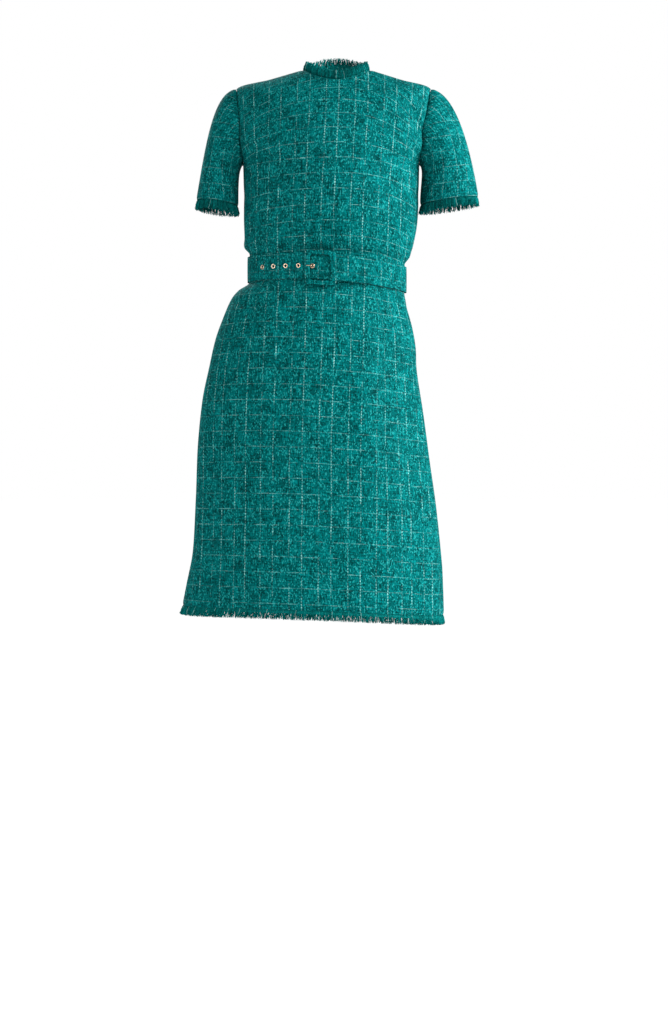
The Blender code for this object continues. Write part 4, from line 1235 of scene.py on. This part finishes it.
# %% Cover the buckle frame
BUCKLE_SIZE, BUCKLE_HOLE, BUCKLE_THICK = (52.0, 58.0), (32.0, 42.0), 3.8
BUCKLE_CORNER = 6.4  # radius of its outer corners
FRAME_LIFT = 2 * LAYER
BUCKLE_CHECK = (-6.6, 9.0)  # mm, where the check falls on the cover
Ring = namedtuple("Ring", "size inset lift")
RINGS = [
    Ring(BUCKLE_SIZE, 0.8, 0.0),
    Ring(BUCKLE_SIZE, 0.0, 0.9),
    Ring(BUCKLE_SIZE, 0.0, 1.9),
    Ring(BUCKLE_SIZE, 0.45, 2.8),
    Ring(BUCKLE_SIZE, 1.3, 3.4),
    Ring(BUCKLE_SIZE, 2.6, 3.75),
    Ring(BUCKLE_SIZE, 4.0, 3.8),
    Ring(BUCKLE_HOLE, -3.4, 3.8),
    Ring(BUCKLE_HOLE, -2.2, 3.75),
    Ring(BUCKLE_HOLE, -1.2, 3.4),
    Ring(BUCKLE_HOLE, -0.4, 2.8),
    Ring(BUCKLE_HOLE, 0.0, 1.9),
    Ring(BUCKLE_HOLE, 0.0, 0.9),
    Ring(BUCKLE_HOLE, -0.8, 0.0),
]

cover = added(bpy.ops.mesh.primitive_plane_add, size=1, location=(0, 0, 0))
cover.name = cover.data.name = "buckle_cover"
edit(cover)
wide, high = BUCKLE_SIZE[0] - 2 * RINGS[0].inset, BUCKLE_SIZE[1] - 2 * RINGS[0].inset
bpy.ops.transform.resize(value=(wide * MM, high * MM, 1), center_override=(0, 0, 0))
bpy.ops.mesh.bevel(offset=BUCKLE_CORNER * MM, segments=6, affect="VERTICES", offset_type="OFFSET")
bpy.ops.mesh.delete(type="ONLY_FACE")
leave_edit()
for edge in cover.data.edges:
    ends = [cover.data.vertices[i].co for i in edge.vertices]
    edge.select = (ends[0] - ends[1]).length > 8 * MM
bpy.context.view_layer.objects.active = cover
bpy.ops.object.mode_set(mode="EDIT")
bpy.ops.mesh.select_mode(type="EDGE")
bpy.ops.mesh.subdivide(number_cuts=9)
bpy.ops.mesh.select_all(action="SELECT")
before = RINGS[0]
for ring in RINGS[1:]:
    old = [s - 2 * before.inset for s in before.size]
    new = [s - 2 * ring.inset for s in ring.size]
    bpy.ops.mesh.extrude_edges_move(TRANSFORM_OT_translate={"value": (0, 0, (ring.lift - before.lift) * MM)})
    bpy.ops.transform.resize(value=(new[0] / old[0], new[1] / old[1], 1), center_override=(0, 0, 0))
    before = ring
bpy.ops.mesh.select_all(action="DESELECT")
bpy.ops.mesh.select_non_manifold()
bpy.ops.mesh.bridge_edge_loops()
bpy.ops.mesh.select_all(action="SELECT")
bpy.ops.mesh.normals_make_consistent(inside=False)
bpy.ops.mesh.select_mode(type="VERT")
leave_edit()
distance, height, above = mesh_points(cover).T
set_cloth_map(cover, distance + BUCKLE_CHECK[0], height + above + BUCKLE_CHECK[1])
set_points(cover, on_belt(BUCKLE_AT + distance, BUCKLE_DROP + height, FRAME_LIFT + above))
smooth(cover, 50)
wear(cover, ["buckle_frame"], belt_cloth)
# painted shade: the cover's outer and inner sides take the darker cloth, for the shadow round the buckle frame and
# inside its window
paint_edge_shade(cover, above, BUCKLE_THICK - 0.9)  # the sides, below the rounding

# the bar keeps the frame's shape, and the belt's own cloth hides it
bar = add_piece("bar_cover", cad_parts["buckle_bar"].data.copy())
merge(bar, 0.005)
x, y, z = mesh_points(bar).T
set_cloth_map(bar, x + y + 9, z)
wear(bar, ["buckle_bar"], belt_cloth)
print("buckle cover faces:", len(cover.data.polygons), "and the bar's:", len(bar.data.polygons))

# %% [markdown]
# Rose gold plate
#
# The eyelets and the prong are pressed brass with a thin rose gold plate. Plating follows the metal,
# so it is fully metallic, fairly smooth, and a little duller where it has been rubbed.

# %% Plate the metal
def metal(name, shades, grain, bumpy, finish):
    """A small metal part: its two shades and its relief follow a grain, given as a noise's scale and detail."""
    made = empty_material(name)
    place = node(made, "TexCoord").outputs["Object"]
    rub = node(made, "TexNoise", {"Vector": place, "Scale": grain[0], "Detail": grain[1]})
    tint = node(made, "Mix", {0: rub, 6: colour(shades[0]), 7: colour(shades[1])}, data_type="RGBA")
    bump = node(made, "Bump", {"Height": rub, "Strength": bumpy, "Distance": 0.05 * MM})
    if "Metallic" in finish:
        smooth = finish["Roughness"]
        worn = {"Value": rub, "From Min": 0.3, "From Max": 0.7, "To Min": smooth, "To Max": smooth + 0.15}
        finish["Roughness"] = node(made, "MapRange", worn)
    surface(made, {"Base Color": tint, "Normal": bump, **finish})
    return made


gold = metal("rose_gold_plate", ("#fff0dd", "#e6c8a4"), (900.0, 3.0), 0.15, {"Metallic": 1.0, "Roughness": 0.16})
print("metal:", gold.name)

# %% Roll the eyelets
EYELET_PROFILE = [
    (2.1, -2.3), (2.45, -2.3), (2.45, 0.2), (3.6, 0.2), (3.95, 0.42), (3.9, 0.76), (3.6, 1.02), (3.1, 1.1),
    (2.55, 1.0), (2.25, 0.65), (2.1, 0.1),
]


def spun(name, profile, steps):
    """A closed profile, in mm as radius and height, turned round the Z axis."""
    mesh = bpy.data.meshes.new(name)
    count = len(profile)
    mesh.from_pydata([(r * MM, 0, h * MM) for r, h in profile], [(i, (i + 1) % count) for i in range(count)], [])
    piece = add_piece(name, mesh)
    edit(piece)
    bpy.ops.mesh.spin(steps=steps, angle=math.tau, center=(0, 0, 0), axis=(0, 0, 1))
    bpy.ops.mesh.select_all(action="SELECT")
    bpy.ops.mesh.remove_doubles(threshold=0.005 * MM)
    bpy.ops.mesh.normals_make_consistent(inside=False)
    leave_edit()
    piece.data.shade_smooth()
    return piece


def strap_place(distance):
    """A matrix on the strap's outer face, in mm: X along it, Y up and Z outwards."""
    spots = np.array([distance - 1, distance, distance + 1])
    back, here, ahead = on_belt(spots, 0 * spots, strap_lift(spots) + BELT_THICK)
    rise = Vector((0, 0, 1))
    out = Vector(ahead - back).cross(rise).normalized()
    turned = Matrix((rise.cross(out), rise, out)).transposed().to_4x4()
    return Matrix.Translation(Vector(here) * MM) @ turned


model_eyelet = spun("eyelet", EYELET_PROFILE, 28)
for k in range(EYELETS):
    ring = add_piece(f"eyelet_ring_{k + 1}", model_eyelet.data.copy())
    ring.data.transform(strap_place(LAST_EYELET - k * EYELET_PITCH))
    wear(ring, [f"eyelet_{k + 1}"], gold)
bpy.data.objects.remove(model_eyelet)
print("eyelets:", EYELETS)

# %% Bend the prong
PRONG_RADIUS = 0.8
over = FRAME_LIFT + BUCKLE_THICK + SEAM_GAP + PRONG_RADIUS
PRONG_ROUTE = [
    (BUCKLE_AT - BAR_WIDE / 2 - SEAM_GAP, 1.5),
    (LAST_EYELET + 3.0, 1.5),
    (LAST_EYELET + 1.0, 1.9),
    (LAST_EYELET, 3.2),
    (LAST_EYELET, over - 1.8),
    (LAST_EYELET - 0.6, over - 0.6),
    (LAST_EYELET - 2.0, over),
    (LAST_EYELET - 5.5, over),
    (LAST_EYELET - 9.0, over),
]
prong = added(bpy.ops.curve.primitive_nurbs_path_add, location=(0, 0, 0))
prong.name = "prong"
prong.data.splines.clear()
spline = prong.data.splines.new("NURBS")
spline.points.add(len(PRONG_ROUTE) - 1)
spots = np.array(PRONG_ROUTE)
for point, spot in zip(spline.points, on_belt(spots[:, 0], 0 * spots[:, 0], spots[:, 1])):
    point.co = (*(Vector(spot) * MM), 1.0)
spline.order_u = 3
spline.use_endpoint_u = True
prong.data.resolution_u = 6
prong.data.bevel_depth = PRONG_RADIUS * MM
prong.data.bevel_resolution = 4
prong.data.use_fill_caps = True
bpy.ops.object.convert(target="MESH")
prong = bpy.context.object
prong.data.shade_smooth()
wear(prong, ["buckle_prong"], gold)
print("prong faces:", len(prong.data.polygons))

# %% [markdown]
# The zip
#
# A concealed zip closes the centre back, so all that shows is its slider and the pull that hangs from it. Both
# are painted to match the cloth. They take the frame's own shapes, softened as a cast part is.

# %% Paint the zip
enamel = metal("zip_enamel", ("#00524d", "#0a6b64"), (700.0, 2.0), 0.2, {"Roughness": 0.35, "Coat Weight": 0.3})
for node_name, body in (("zip_slider", BODY), ("zip_pull", PULL)):
    piece = add_piece(node_name + "_painted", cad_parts[node_name].data.copy())
    edit(piece)
    bpy.ops.mesh.remove_doubles(threshold=0.005 * MM)
    bpy.ops.mesh.dissolve_limited(angle_limit=math.radians(2))
    leave_edit()
    soften(piece, 0.18, 40)
    smooth(piece)
    wear(piece, [node_name], enamel, body)
    print(piece.name, len(piece.data.polygons), "faces")

# %% [markdown]
# The cut
#
# Before it was a dress, each panel lay flat on a table. Its size there is its reach along and across the grain,
# darts and all, with 12 mm for the seam on every side. Cut sizes tell anyone who drapes this dress again how
# much cloth there is. The strips of frayed cloth and the pressed seams go with the panels that carry them.

# %% A record for what each cloth was cut to
Cut = namedtuple("Cut", "piece wide long area hangs_from goes_with")
